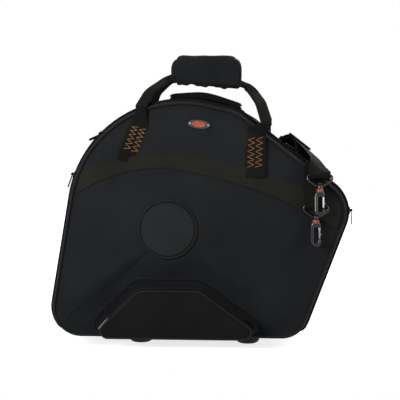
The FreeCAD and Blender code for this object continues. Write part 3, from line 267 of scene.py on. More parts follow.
def join(name, objects):
    """One piece out of several meshes."""
    verts, faces, shading, count = [], [], [], 0
    for obj in objects:
        mesh = obj.data
        places = np.zeros(len(mesh.vertices) * 3)
        mesh.vertices.foreach_get("co", places)
        verts.append(places.reshape(-1, 3))
        faces += [[i + count for i in p.vertices] for p in mesh.polygons]
        shading += [p.use_smooth for p in mesh.polygons]
        count += len(mesh.vertices)
        bpy.data.objects.remove(obj, do_unlink=True)
    joined = make(name, np.concatenate(verts) / MM, faces)
    joined.data.polygons.foreach_set("use_smooth", shading)
    return joined


# Materials
def shader(name, color, rough, specular=0.5, **inputs):
    """A material with its node tree and its main shader."""
    mat = bpy.data.materials.new(name)
    mat.use_nodes = True
    bsdf = mat.node_tree.nodes["Principled BSDF"]
    bsdf.inputs["Base Color"].default_value = (*color, 1)
    bsdf.inputs["Roughness"].default_value = rough
    bsdf.inputs["Specular IOR Level"].default_value = specular
    for key, value in inputs.items():
        bsdf.inputs[key.replace("_", " ")].default_value = value
    return mat, mat.node_tree, bsdf


def add(tree, kind, inputs, **settings):
    """A node's outputs. Each of its inputs takes a value or the output of another node."""
    node = tree.nodes.new(kind)
    for key, value in settings.items():
        setattr(node, key, value)
    for key, value in inputs.items():
        if isinstance(value, bpy.types.NodeSocket):
            tree.links.new(value, node.inputs[key])
        else:
            node.inputs[key].default_value = value
    return node.outputs


def two_tones(tree, value, low, high, start, end):
    """A colour between two tones."""
    ramp = tree.nodes.new("ShaderNodeValToRGB")
    for element, at, tone in zip(ramp.color_ramp.elements, (start, end), (low, high)):
        element.position = at
        element.color = (*tone, 1)
    tree.links.new(value, ramp.inputs["Fac"])
    return ramp.outputs["Color"]


def cloth(name, low, high, weave=1400.0, bump=0.25, rough=0.8, specular=0.06, patches=14.0, ribs=False,
          sheen=0.0):
    """Woven cloth: two close tones in soft patches and threads, and a fine raised weave."""
    mat, tree, bsdf = shader(name, low, rough, specular, Sheen_Weight=sheen, Sheen_Roughness=0.5)
    place = add(tree, "ShaderNodeTexCoord", {})
    soft = add(tree, "ShaderNodeTexNoise", {"Vector": place["Object"], "Scale": patches, "Detail": 3.0})
    if ribs:
        along = add(tree, "ShaderNodeTexWave",
                    {"Vector": place["UV"], "Scale": weave, "Distortion": 0.6, "Detail": 1.0},
                    bands_direction="X")
        over = add(tree, "ShaderNodeTexWave", {"Vector": place["UV"], "Scale": weave * 0.62},
                   bands_direction="Y")
        height = add(tree, "ShaderNodeMath", {0: along["Fac"], 1: over["Fac"]}, operation="MULTIPLY")[0]
    else:
        height = add(tree, "ShaderNodeTexVoronoi", {"Vector": place["Object"], "Scale": weave})["Distance"]
    share = add(tree, "ShaderNodeMath", {0: height, 1: 0.35, 2: soft["Fac"]}, operation="MULTIPLY_ADD")[0]
    tree.links.new(two_tones(tree, share, low, high, 0.35, 0.95), bsdf.inputs["Base Color"])
    bumps = add(tree, "ShaderNodeBump", {"Height": height, "Strength": bump, "Distance": 0.0004})
    tree.links.new(bumps["Normal"], bsdf.inputs["Normal"])
    return mat


def metal(name, color, rough, specular=0.5):
    """Metal whose gloss varies by a quarter each way."""
    mat, tree, bsdf = shader(name, color, rough, specular, Metallic=1.0)
    place = add(tree, "ShaderNodeTexCoord", {})
    grit = add(tree, "ShaderNodeTexNoise", {"Vector": place["Object"], "Scale": 380.0})
    varied = add(tree, "ShaderNodeMapRange",
                 {"Value": grit["Fac"], "To Min": rough * 0.75, "To Max": rough * 1.25})
    tree.links.new(varied["Result"], bsdf.inputs["Roughness"])
    return mat


def gloss(name, low, high, rough, coat):
    """Enamel or lacquer: two close tones in soft patches under a clear coat."""
    mat, tree, bsdf = shader(name, low, rough, 0.4, Coat_Weight=coat)
    place = add(tree, "ShaderNodeTexCoord", {})
    soft = add(tree, "ShaderNodeTexNoise", {"Vector": place["Object"], "Scale": 240.0})
    tree.links.new(two_tones(tree, soft["Fac"], low, high, 0.3, 0.7), bsdf.inputs["Base Color"])
    return mat


NYLON = cloth("nylon", (0.0110, 0.0117, 0.0131), (0.0165, 0.0174, 0.0193))
NYLON_DISC = cloth("nylon_disc", (0.0170, 0.0175, 0.0188), (0.0240, 0.0246, 0.0260))
# Pocket flap: a darker copy of the lid's nylon, painted shade for its upright front
POCKET_PAINTED_SHADE = cloth("pocket_nylon_painted_shade", (0.0058, 0.0057, 0.0055), (0.0092, 0.0089, 0.0085))
# Pocket gusset: a still darker copy of the lid's nylon, painted shade for its recess under the flap
GUSSET_PAINTED_SHADE = cloth("gusset_nylon_painted_shade", (0.0046, 0.0047, 0.0053), (0.0074, 0.0076, 0.0084))
BAND = cloth("band_cloth", (0.0128, 0.0126, 0.0096), (0.0198, 0.0194, 0.0152), weave=900.0, bump=0.5)
WEB = cloth("webbing", (0.0066, 0.0065, 0.0052), (0.0138, 0.0135, 0.0108), weave=0.32, bump=0.8, ribs=True,
            specular=0.05)
PIPE = cloth("piping_cloth", (0.0052, 0.0052, 0.0055), (0.0088, 0.0088, 0.0092), weave=1800.0, rough=0.6,
             specular=0.12)
TAPE = cloth("zip_tape", (0.0052, 0.0052, 0.0058), (0.0092, 0.0092, 0.0100), weave=1100.0, bump=0.5)
GRIPM = cloth("grip_cloth", (0.0094, 0.0098, 0.0108), (0.0154, 0.0160, 0.0174))
PLUSH = cloth("plush", (0.016, 0.016, 0.018), (0.032, 0.032, 0.036), weave=700.0, bump=0.8, rough=0.95,
              specular=0.04, sheen=0.1)
THREAD = cloth("amber_thread", (0.110, 0.042, 0.013), (0.300, 0.140, 0.055), weave=900.0, bump=0.6, rough=0.5,
               specular=0.3, patches=160.0)
DARKTHREAD = cloth("dark_thread", (0.005, 0.005, 0.005), (0.010, 0.010, 0.010), weave=900.0, rough=0.6,
                   specular=0.08)
RUBBER = cloth("rubber", (0.0070, 0.0070, 0.0070), (0.0130, 0.0130, 0.0130), weave=500.0, bump=0.15,
               rough=0.6, specular=0.2)
TEETH = metal("zip_teeth", (0.02, 0.02, 0.022), 0.45)
STEEL = metal("plated_steel", (0.24, 0.24, 0.25), 0.24)
RIVET = metal("bright_rivet", (0.5, 0.49, 0.47), 0.35)
GUN = metal("dark_nickel", (0.040, 0.038, 0.040), 0.15)
BLACKM = metal("black_metal", (0.009, 0.009, 0.0095), 0.5, specular=0.25)
BADGE = metal("badge_metal", (0.060, 0.058, 0.056), 0.36)
ENAMEL = gloss("orange_enamel", (0.36, 0.046, 0.008), (0.58, 0.098, 0.016), 0.38, 0.12)
ORANGE = gloss("orange_collar", (0.15, 0.038, 0.009), (0.28, 0.078, 0.017), 0.45, 0.08)


def piece(obj, material, body, slot, *nodes):
    """Finish of one piece: material, the body it rides on and the nodes it stands for."""
    obj.data.materials.clear()
    obj.data.materials.append(material)
    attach(obj, body)
    if nodes:
        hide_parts(*nodes)


# Camera, lamps and background
def aimed(name, data, place, target):
    """A camera or lamp at a place, turned to its target."""
    obj = bpy.data.objects.new(name, data)
    bpy.context.scene.collection.objects.link(obj)
    obj.location = place
    obj.rotation_euler = (Vector(target) - Vector(place)).to_track_quat("-Z", "Y").to_euler()
    return obj


def lamp(name, place, target, energy, size, color=(1, 1, 1)):
    light = bpy.data.lights.new(name, "AREA")
    light.energy, light.shape, light.color = energy, "RECTANGLE", color
    light.size, light.size_y = size
    aimed(name, light, place, target)


def background(tree, lit, seen, output):
    """One shader lights the object. Another shows to the rays seen directly, in metal or through glass."""
    rays = add(tree, "ShaderNodeLightPath", {})
    share = rays["Is Camera Ray"]
    for kind in ("Is Glossy Ray", "Is Transmission Ray"):
        share = add(tree, "ShaderNodeMath", {0: share, 1: rays[kind]}, operation="MAXIMUM")["Value"]
    mixed = add(tree, "ShaderNodeMixShader", {"Fac": share, 1: lit, 2: seen})
    tree.links.new(mixed["Shader"], tree.nodes[output].inputs["Surface"])


# Angle round and above the object, distance in metres, and half the width seen at that distance
AZ, EL, FAR, HALF_VIEW = math.radians(3.36), math.radians(5.77), 2.2, 0.3558
SENSOR = 36
aim = Vector((0.8, -85.0, FLOOR + 249.8)) * MM
eye = aim + Vector((math.sin(AZ) * math.cos(EL), -math.cos(AZ) * math.cos(EL), math.sin(EL))) * FAR
camera = aimed("camera", bpy.data.cameras.new("camera"), eye, aim)
camera.data.sensor_width = SENSOR
camera.data.lens = SENSOR / 2 * FAR / HALF_VIEW
bpy.context.scene.camera = camera
bpy.context.scene.view_settings.view_transform = "Standard"

world = bpy.data.worlds.new("studio")
bpy.context.scene.world = world
world.use_nodes = True
tree = world.node_tree
white = tree.nodes["Background"]
white.inputs["Color"].default_value = (1, 1, 1, 1)
white.inputs["Strength"].default_value = 1.0
way = add(tree, "ShaderNodeTexCoord", {})
height = add(tree, "ShaderNodeSeparateXYZ", {"Vector": way["Generated"]})
sky_tone = two_tones(tree, height["Z"], (0.35, 0.36, 0.38), (1, 1, 1), 0.0, 0.5)
sky = add(tree, "ShaderNodeBackground", {"Color": sky_tone, "Strength": 0.34})
background(tree, sky["Background"], white.outputs["Background"], "World Output")

lamp("key", (-1.3, -2.1, 1.0), (-0.05, -0.1, 0.25), 50, (1.1, 1.1), (0.95, 0.98, 1.0))
lamp("top", (0.1, -0.3, 2.2), (0, 0, 0.2), 4, (1.6, 1.2))
lamp("right", (1.9, -0.9, 0.9), (0.05, 0, 0.2), 14, (0.8, 1.4), (1.0, 0.98, 0.95))
lamp("back", (0.3, 2.0, 1.4), (0, 0, 0.2), 24, (1.4, 1.4))

# The floor lifts itself to white where it shows, and keeps the object's shadow.
# It ends like a table's edge in front of the hinge, so the lid can hang open.
TABLE_EDGE, TABLE_END, TABLE_LOW = -62, 3000, -6
floor_mat, tree, matt = shader("floor", (0.9, 0.9, 0.9), 0.9, 0.1)
glow = add(tree, "ShaderNodeEmission", {"Color": (1, 1, 1, 1), "Strength": 0.76})
lifted = add(tree, "ShaderNodeAddShader", {0: matt.outputs["BSDF"], 1: glow["Emission"]})
background(tree, matt.outputs["BSDF"], lifted["Shader"], "Material Output")
plan = ((-TABLE_END, TABLE_EDGE), (TABLE_END, TABLE_EDGE), (TABLE_END, TABLE_END), (-TABLE_END, TABLE_END))
floor = make("floor", [(x, y, z) for z in (0, TABLE_LOW) for x, y in plan],
             [(0, 1, 2, 3), (7, 6, 5, 4), (0, 4, 5, 1)], flat=True)
floor.data.materials.append(floor_mat)


# Lid and base skins
def wall(corners, drop, start, end, rounding, straight, steps, sag=None):
    """Rows of a wall from one depth to another, with its far edge rounded."""
    turn = math.copysign(rounding, end - start)
    rows = [at_depth(outline(corners, (sag(y) if sag else 0.0) - drop), y)
            for y in np.linspace(start, end - turn, straight)]
    for a in np.radians(np.linspace(0, 90, steps)[1:]):
        rows.append(at_depth(outline(corners, -drop - rounding * (1 - math.cos(a))),
                             end - turn * (1 - math.sin(a))))
    return rows


def shell(name, rows, inner, outer):
    """A closed skin between two depths below the surface."""
    return grid(name, np.concatenate([rows(inner)[::-1], rows(outer)]), caps=True)


# From the bulge's foot to the round panel: share of the way, and of the rise at the sides and in the hollow
RISE = [(0.0, 0.0, 0.0), (0.06, 0.085, 0.06), (0.12, 0.185, 0.12), (0.3, 0.37, 0.22), (0.5, 0.56, 0.38),
        (0.7, 0.745, 0.58), (0.85, 0.9, 0.81), (0.94, 0.972, 0.955), (1.0, 1.0, 1.0)]
LEVELS = 26


def rise_at(share, places):
    """Share of the bulge's rise: fuller at the sides, hollow between the two lower ridges."""
    way, sides, hollow = zip(*RISE)
    side, low = np.interp(share, way, sides), np.interp(share, way, hollow)
    x, z = (places - DISC).T
    angle = np.degrees(np.arctan2(z, x)) % 360
    return side + (low - side) * smooth(217, 230, angle) * (1 - smooth(296, 322, angle))


def lid_rows(drop):
    """Rows of the lid's skin, set in by drop: rim, rounded edge, margin, flare and the seat of the panel."""
    front, edge = LID_FACE + drop, max(EDGE - drop, 1.0)
    rows = wall(CASE, drop, LID_RIM if drop else LID_RIM - 0.7, front, edge, 4, 7)
    rows.append(at_depth(outline(CASE, -drop - edge - (INSET - EDGE) * 0.5), front))
    foot = outline(CASE, -INSET - drop / 2)
    mouth = DISC + unit(foot - DISC) * (MOUTH - drop / 2)
    for share in np.linspace(0, 1, LEVELS) ** 0.9:
        q = foot + (mouth - foot) * share
        rows.append(at_depth(q, front - BULGE * rise_at(share, q)))
    rows = np.array(rows)
    flare = rows[-LEVELS:]
    puff = wobble(flare, 2.2, 90.0, 3.1) + wobble(flare, 0.7, 28.0, 9.0)
    flare[:, :, 1] -= puff * (np.sin(np.linspace(0, math.pi, LEVELS)) ** 0.6)[:, None]
    inner = rows[-1]
    centre = np.array([DISC[0], inner[0, 1] + 1.0, DISC[1]])
    return np.concatenate([rows, [inner + (centre - inner) * share for share in (0.3, 0.7)]])


lid = shell("lid_skin", lid_rows, 4.0, 0.0)
LID_TREE = BVHTree.FromPolygons([v.co.copy() for v in lid.data.vertices],
                                [list(f.vertices) for f in lid.data.polygons])
piece(recalc(lid), NYLON, "lid", "nylon", "lid_shell")
lining = shell("lid_lining", lid_rows, 7.8, 4.2)
piece(recalc(lining), PLUSH, "lid", "foam")


def lid_hit(x, z):
    """Point and outward normal of the lid's skin at a place seen from the front."""
    place, normal = LID_TREE.ray_cast(Vector((x * MM, -1.0, z * MM)), Vector(Y))[:2]
    if place is None:
        return np.array([x, LID_FACE, z]), -Y
    normal = np.array(normal)
    return np.array(place) / MM, normal if normal[1] < 0 else -normal


def on_lid(points, lift):
    """Points seen from the front, laid on the lid and lifted off it."""
    return np.array([place + (normal - Y) * lift * 0.5 for place, normal in (lid_hit(*q) for q in points)])


GUSSET_ROWS, BACK_ROW = 18, 26  # rows of the gusset, and the first one inside the back


def gusset_sag(y):
    """The gusset's slight hollow between its seams."""
    return -1.2 * math.sin(math.pi * min(max((y + 45) / 140, 0), 1))


def base_rows(drop):
    """Rows of the base's skin: gusset, rounded rear edge and back."""
    back, edge = BASE_FACE - drop, max(14 - drop, 4)
    rows = wall(CASE, drop, BASE_RIM, back, edge, GUSSET_ROWS, 8, gusset_sag)
    foot = outline(CASE, -drop - edge - 3)
    for share in np.linspace(0, 1, 16)[:-1]:
        rows.append(at_depth(foot + (CORE - foot) * share, back + 2.0 * math.sin(share * math.pi / 2)))
    P = np.array(rows)
    # The gusset stands up a little between the haul handle and the strap
    gusset = P[:GUSSET_ROWS]
    high = smooth(FLOOR + 330, FLOOR + 350, gusset[:, :, 2])
    high = high * np.sin(math.pi * (gusset[:, :, 1] - BASE_RIM) / (back - BASE_RIM)) ** 2
    rise = 6.5 * np.exp(-((gusset[:, :, 0] - 97) / 24.0) ** 2) * high
    gusset[:, :, 0] += OFF_SLOPE[0] * rise
    gusset[:, :, 2] += OFF_SLOPE[1] * rise
    soft = wobble(P, 1.0, 80.0, 5.0)
    P[2:GUSSET_ROWS, :, 0] += soft[2:GUSSET_ROWS] * 0.5
    P[BACK_ROW:, :, 1] += soft[BACK_ROW:] * 1.2
    return P


base = shell("base_skin", base_rows, 7.8, 0.0)
piece(recalc(base), NYLON, "base", "nylon", "base_shell")


def rim_path(grow, y, corners=CASE):
    return at_depth(outline(corners, grow), y)


# Piping cords
piece(tube("lid_cord", rim_path(-4.2, -85.4), 2.4, 12, True), PIPE, "lid", "piping_cloth", "lid_piping")
piece(tube("base_cord", rim_path(-15.5, 116.0), 2.7, 12, True), PIPE, "base", "piping_cloth", "base_piping")


# Zip round the case: a tape each side and the teeth
def without(path, gap):
    """A closed path without the points in its gap, from the gap's end on."""
    first = int(np.argmax(~gap & np.roll(gap, 1)))
    return np.roll(path, -first, 0)[~np.roll(gap, -first)]


def zip_path(grow, y):
    """Round the case at a depth, but for the hinge's side."""
    q = rim_path(grow, y)
    return even(without(q, (q[:, 2] < FLOOR + 26) & (q[:, 0] > -239) & (q[:, 0] < 171)), 3.0)


TUCK = 16.0  # length of a zip's end that is drawn in


def tucked(path, depth):
    """The path with its two ends drawn into the case, and how wide it is on the way."""
    run = run_along(path)
    run = np.minimum(run, run[-1] - run)
    out = unit((path - at_depth(CORE[None], 0)) * (1, 0, 1))
    return path - out * (depth * (1 - smooth(0, TUCK, run)))[:, None], np.interp(run, [0, TUCK], [0.45, 1.0])


# A tooth is a box that narrows outward: along the zip, in depth and outward
TOOTH = np.array([(-1, -1, -1), (1, -1, -1), (1, 1, -1), (-1, 1, -1),
                  (-0.7, -1, 1), (0.7, -1, 1), (0.7, 0.8, 1), (-0.7, 0.8, 1)])
TOOTH_FACES = np.array([(0, 3, 2, 1), (4, 5, 6, 7), (0, 1, 5, 4), (1, 2, 6, 5), (2, 3, 7, 6), (3, 0, 4, 7)])


def teeth(name, path, out, half, shift):
    """Teeth at each point of a zip's path, with their half size and their shift from the path."""
    axes = np.stack([directions(path), np.broadcast_to(Y, path.shape), out], 1)
    verts = path[:, None] + (TOOTH * half + shift) @ axes
    faces = 8 * np.arange(len(path))[:, None, None] + TOOTH_FACES
    return make(name, verts.reshape(-1, 3), faces.reshape(-1, 4), flat=True)


# Section of a tape: thin between its two seams, with a ridge at each
half_tape = [(0.8, 0.65), (0.3, 3.6), (2.1, 5.7), (5.05, 6.5), (1.7, 6.5)]
half_tape += [(-x, z) for x, z in half_tape[::-1]]
TAPE_SECTION = np.array(half_tape + [(-x, -z) for x, z in half_tape])

for body, side, rim in (("base", 1, BASE_RIM), ("lid", -1, LID_RIM)):
    path, width = tucked(zip_path(-0.3, rim + side * 6.5), 3.4)
    tape = sweep(body + "_tape", path, TAPE_SECTION, up=Y, scale=width)
    piece(recalc(tape), TAPE, body, "zip_tape")
    row = zip_path(1.1, rim + side * 0.1)
    if side < 0:
        # The lid's teeth stand between the base's
        row = even(row, 3.0)[:-1] + np.diff(row, axis=0) * 0.5
    row = tucked(row, 4.0)[0]
    coil = teeth(body + "_teeth", row, np.cross(directions(row), Y), (0.95, 1.1 * side, 0.65),
                 (0, 1.2 * side, 0))
    piece(recalc(coil), TEETH, body, "zip_tape", body + "_zip_tape")

# Fabric hinge under the parting line: a thin sheet, closed at its edges
xs, ys = np.linspace(-214, 146, 60), np.linspace(-71.5, -38.5, 23)
lower = np.array([[(x, y, FLOOR - 1.3 + 0.1 * math.sin(x * 0.2)) for x in xs] for y in ys])
upper = lower * (1, 1, 0) + (0, 0, FLOOR - 0.1)
ids = np.arange(2 * len(xs) * len(ys)).reshape(2, len(ys), len(xs))
strips = [(ids[k, v], ids[k, v + 1]) for k in (0, 1) for v in range(len(ys) - 1)]
strips += [(ids[0, v], ids[1, v]) for v in (0, -1)] + [(ids[0, :, u], ids[1, :, u]) for u in (0, -1)]
faces = [quad for near, far in strips for quad in zip(near[:-1], near[1:], far[1:], far[:-1])]
hinge = recalc(make("hinge_strip", np.concatenate([lower.reshape(-1, 3), upper.reshape(-1, 3)]), faces))
hinge.data.materials.append(TAPE)
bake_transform(hinge)
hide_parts("hinge_tape")

# Foam insert: the moulded block with soft edges, under a plush cover
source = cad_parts["base_insert"]
insert = bpy.data.objects.new("insert", source.data.copy())
bpy.context.scene.collection.objects.link(insert)
insert.matrix_world = source.matrix_world.copy()
remesh = insert.modifiers.new("remesh", "REMESH")
remesh.mode, remesh.voxel_size = "VOXEL", 0.005
soften = insert.modifiers.new("soften", "SMOOTH")
soften.factor, soften.iterations = 0.5, 4
softened = bpy.data.meshes.new_from_object(insert.evaluated_get(bpy.context.evaluated_depsgraph_get()))
insert.modifiers.clear()
insert.data = softened
softened.polygons.foreach_set("use_smooth", [True] * len(softened.polygons))
piece(insert, PLUSH, "base", "foam", "base_insert")

# Padded ring inside the lid
ring_rows = [at_depth(outline(CASE, -25.5 - a), -72.0 + b) for a, b in rounded(17, 4.3, 4.2)]
pad = grid("lid_pad_ring", np.array(ring_rows), True, True)
piece(recalc(pad), PLUSH, "lid", "foam", "lid_pad")

# Strap over the horn, inside
RETAINER = ((-223, -50.6, 0), (-120, -52.2, 0.5), (0, -52.8, -1), (110, -52.4, 0), (217, -50.6, 0))
strap_rows = curve_through([(x, y, FLOOR + 227 + z) for x, y, z in RETAINER], 14)
retainer = sweep("retaining_strap", strap_rows, slab(37.5, 2.6), up=-Y)
piece(recalc(retainer), WEB, "base", "webbing", "horn_strap")

# Domed rubber feet with a ring groove
FOOT = [(24.8, 22.0), (24.9, 20.0), (24.4, 15.0), (23.4, 11.6), (22.4, 10.9), (21.9, 10.4), (22.0, 8.2),
        (20.9, 4.6), (18.9, 2.0), (16.4, 0.5), (14.0, 0.0), (7.0, 0.0), (6.4, 0.5), (3.0, 0.6)]
for row, y in (("front", -12.5), ("rear", 85)):
    for label, x in (("left", -113), ("right", 85)):
        name = "foot_" + row + "_" + label
        piece(recalc(lathe(name + "_dome", FOOT, 48, (x, y))), RUBBER, "base", "rubber", name)

# Round panel: a crowned disc with a stitched edge, and its piping
PANEL = ((47.4, -134.6), (47.5, -136.6), (46.8, -137.6), (45.2, -138.0), (43.6, -137.7), (42.4, -137.9),
         (38, -138.3), (30, -138.6), (20, -138.8), (10, -138.9), (3, -138.9))
P = np.array([at_depth(DISC + circle(r, 72), y) for r, y in PANEL])
P[6:, :, 1] -= wobble(P[6:], 0.5, 30.0, 2.0)
piece(recalc(grid("round_panel", P, caps=True)), NYLON_DISC, "lid", "nylon_light", "disc_panel")
ring_path = at_depth(DISC + circle(50.2, 96), -136.6)
piece(tube("round_cord", ring_path, 2.5, 10, True), PIPE, "lid", "piping_cloth", "disc_piping")


# Stitches: short raised threads, each a thread of three rings of six points
STITCH, STITCH_GAP, THREAD_RADIUS = 2.6, 1.2, 0.32
STITCH_FACES = [(6 * j + i, 6 * j + (i + 1) % 6, 6 * j + (i + 1) % 6 + 6, 6 * j + i + 6)
                for j in (0, 1) for i in range(6)] + [(5, 4, 3, 2, 1, 0), (12, 13, 14, 15, 16, 17)]


def stitches(name, path, out):
    """A row of stitches along a path, on the side that out points to."""
    path = np.asarray(path, float)
    out = np.broadcast_to(out, path.shape)
    run = run_along(path)
    ring = circle(1.0, 6)
    verts, faces = [], []
    start = STITCH_GAP
    while start + STITCH < run[-1]:
        s = np.array([0, 0.5, 1.0]) * STITCH + start
        places, normals = read_at(s, run, path), unit(read_at(s, run, out))
        t = unit(places[2] - places[0])
        faces += [[len(verts) + i for i in face] for face in STITCH_FACES]
        for place, normal, scale, up in zip(places, normals, (0.55, 1.0, 0.55), (-0.25, 0.1, -0.25)):
            side = np.cross(normal, t)
            verts += [place + (side * c + normal * w) * THREAD_RADIUS * scale + normal * up for c, w in ring]
        start += STITCH + STITCH_GAP
    return make(name, verts, faces)


seam = circle(44.4, 199)
seam = at_depth(DISC + np.concatenate([seam, seam[:1]]), -137.9)
piece(stitches("round_seam", seam, -Y), DARKTHREAD, "lid", "piping_cloth")


# Olive arc band across the lid. Its edges are arcs through places, given as shares of the case's size
def spot(across, up):
    return np.array([-277 + across * 550, FLOOR + up * 469])


UPPER = [spot(*q) for q in ((0.10, 0.643), (0.267, 0.697), (0.44, 0.714), (0.70, 0.645), (1.03, 0.468))]
LOWER = [spot(*q) for q in ((0.07, 0.525), (0.231, 0.625), (0.391, 0.658), (0.685, 0.574), (1.03, 0.353))]
BAND_POINTS = 170


def through(p, q, r, n):
    """Points on the circle through three places."""
    centre = np.linalg.solve(2 * np.array([q - p, r - p]), [q @ q - p @ p, r @ r - p @ p])
    first, last = (math.atan2(*(place - centre)[::-1]) for place in (p, r))
    t = np.linspace(first, last, n)
    return centre + np.linalg.norm(p - centre) * np.stack([np.cos(t), np.sin(t)], 1)


def inside(points, edge):
    """Which points lie inside a closed outline."""
    x, z = points[:, :1], points[:, 1:]
    (ax, az), (bx, bz) = edge.T, np.roll(edge, -1, 0).T
    with np.errstate(divide="ignore", invalid="ignore"):
        at = ax + (z - az) * (bx - ax) / (bz - az)
    return (((az > z) != (bz > z)) & (x < at)).sum(1) % 2 == 1


def resampled(points, count):
    """The same line with another number of points."""
    return read_at(np.linspace(0, len(points) - 1, count), range(len(points)), points)


band_edges = [resampled(even(np.concatenate([through(*e[:3], 80)[:-1], through(*e[2:], 120)]), 2.0), 240)
              for e in (LOWER, UPPER)]


def band_line(v):
    """A line along the band, v of the way from its lower to its upper edge, as far as the lid's margin."""
    line = band_edges[0] + (band_edges[1] - band_edges[0]) * v
    return resampled(line[inside(line, outline(CASE, -9.4))], BAND_POINTS)


# Share of the way up the band and lift off the lid, then back along its hidden side
BAND_SECTION = [(0, 0.5), (0.012, 1.3), (0.05, 1.7), (0.2, 1.5), (0.35, 1.6), (0.5, 1.6), (0.65, 1.6),
                (0.8, 1.5), (0.95, 1.7), (0.988, 1.3), (1.0, 0.5), (1.0, -0.6), (0.5, -0.6), (0, -0.6)]
P = np.array([on_lid(band_line(v), lift) for v, lift in BAND_SECTION]).transpose(1, 0, 2)
uv = weave_map(np.linspace(0, 520, BAND_POINTS), [v * 55 for v, lift in BAND_SECTION])
piece(recalc(grid("arc_band_cloth", P, True, False, True, uv)), BAND, "lid", "band_cloth", "arc_band")
seams = [stitches("s", on_lid(band_line(v), 1.75), -Y) for v in (0.07, 0.93)]
piece(join("band_seams", seams), DARKTHREAD, "lid", "band_cloth")


# Webbing pieces
def sampled(values, count):
    """A number, or numbers spread evenly, for each of so many points."""
    values = np.atleast_1d(values)
    return np.interp(np.linspace(0, 1, count), np.linspace(0, 1, len(values)), values)


def ribbon(name, stations, width, thick, per):
    """Webbing through stations: place, direction across and side that faces out.

    Returns the object and, along it, its middle, the direction across and its outward direction."""
    mid, across, out = (curve_through([q[k] for q in stations], per) for k in range(3))
    t = directions(mid)
    across = unit(across - t * np.sum(across * t, 1)[:, None])
    normal = np.cross(t, across)
    normal *= np.where(np.sum(normal * out, 1) < 0, -1, 1)[:, None]
    sections = [slab(w, h) for w, h in zip(sampled(width, len(mid)), sampled(thick, len(mid)))]
    P = mid[:, None] + np.array(sections) @ np.stack([across, normal], 1)
    uv = weave_map(run_along(mid), sections[0][:, 0])
    return recalc(grid(name, P, True, False, True, uv)), mid, across, normal


# The handles' bends, and the feet of their tabs, seen from the front
PIVOTS = {"left": np.array([-103.0, FLOOR + 416.0]), "right": np.array([118.0, FLOOR + 386.0])}
FEET = {"left": np.array([-129.0, FLOOR + 318.0]), "right": np.array([97.0, FLOOR + 292.0])}
FRONT_BEND, REAR_BEND = -92.0, 122.0


def tab_end(stations, label, depth, shares, out):
    """The end of a tab, which turns and narrows to lie along the handle's bend."""
    last, side, _ = stations[-1]
    top = np.array([PIVOTS[label][0], depth, PIVOTS[label][1] - 2.0])
    return stations + [(last + (top - last) * share, side * (1 - share) + X * share, out) for share in shares]


# Front tabs: shift of the foot, direction up the lid, rest of the foot on it, shares of the way laid on it,
# and the shares of the length between which the zigzags lie
FRONT_TABS = {
    "left": ((1.5, 0), unit((0.36, 1.0)), 0.8, (0.0, 0.1, 0.2, 0.32, 0.44, 0.55, 0.64), (0.23, 0.66)),
    "right": ((0, 0), np.array([0.03, 1.0]), 3.1, (0.0, 0.12, 0.25, 0.38, 0.52, 0.66, 0.78), (0.16, 0.60))}


def zigzag(mid, across, normal, centre, first, last, width=12.0, turns=11):
    """One column of zigzag stitching on a tab, between two shares of its length."""
    pts = []
    for j in range(turns + 1):
        at = (first + (last - first) * j / turns) * (len(mid) - 1)
        i, f = int(at), at - int(at)
        sideways = centre + (width / 2 if j % 2 else -width / 2)
        pts.append(mid[i] * (1 - f) + mid[i + 1] * f + across[i] * sideways + normal[i] * 1.75)
    return tube("z", even(np.array(pts), 1.2), 0.7, 6)


for label, (shift, up, foot_rest, laid, stitched) in FRONT_TABS.items():
    foot = FEET[label] + shift
    length = np.linalg.norm(PIVOTS[label] - foot)
    side = np.array([up[1], 0, -up[0]])
    stations = []
    for share in laid:
        place, normal = lid_hit(*(foot + up * (share * length)))
        rest = 1.7 if share > 0.16 else foot_rest
        stations.append((place + normal * rest * 0.6 - Y * rest * 0.4, side, normal))
    stations = tab_end(stations, label, FRONT_BEND, (0.45, 0.8, 1.0), -Y)
    tab, *lines = ribbon("front_tab_" + label + "_web", stations, [38, 38, 38, 38, 38, 37, 35, 26, 20, 19],
                         [2.4, 2.4, 2.4, 2.5, 2.8, 3.2, 3.8, 4.6, 5, 5], 8)
    piece(tab, WEB, "lid", "webbing", "front_tab_" + label)
    columns = [zigzag(*lines, centre, *stitched) for centre in (-6.9, 6.9)]
    piece(join("zigzag_" + label, columns), THREAD, "lid", "webbing")

# Rear tabs lie flat on the back
for label, foot in FEET.items():
    way = PIVOTS[label] - foot
    side = np.array([unit(way)[1], 0, -unit(way)[0]])
    laid = [(at_depth(foot[None] + way * share, 118.2)[0], side, Y) for share in (0.0, 0.15, 0.3, 0.45, 0.6)]
    stations = tab_end(laid, label, REAR_BEND, (0.4, 0.75, 1.0), Y)
    tab = ribbon("rear_tab_" + label + "_web", stations, [38, 38, 38, 38, 35, 27, 20, 19],
                 [2.4, 2.4, 2.4, 2.6, 3.2, 4.2, 5, 5], 8)[0]
    piece(tab, WEB, "base", "webbing", "rear_tab_" + label)

# Handle web: share of the way across and of the rise to the grip
WEB_SHARES = [(0.0, 0.0), (0.035, 0.38), (0.21, 1.0), (0.79, 1.0), (0.93, 0.5), (1.0, 0.0)]
# Its section is folded in half: rounded edge outside, the two raw edges with their seam inside
half_web = [(9.5, 0.0), (9.2, 1.6), (8.2, 2.5), (3, 2.75), (-3, 2.6), (-8.4, 2.4), (-9.3, 1.9), (-9.5, 0.5),
            (-8.9, 0.0)]
WEB_SECTION = np.array(half_web + [(x, -z) for x, z in half_web[-2:0:-1]])


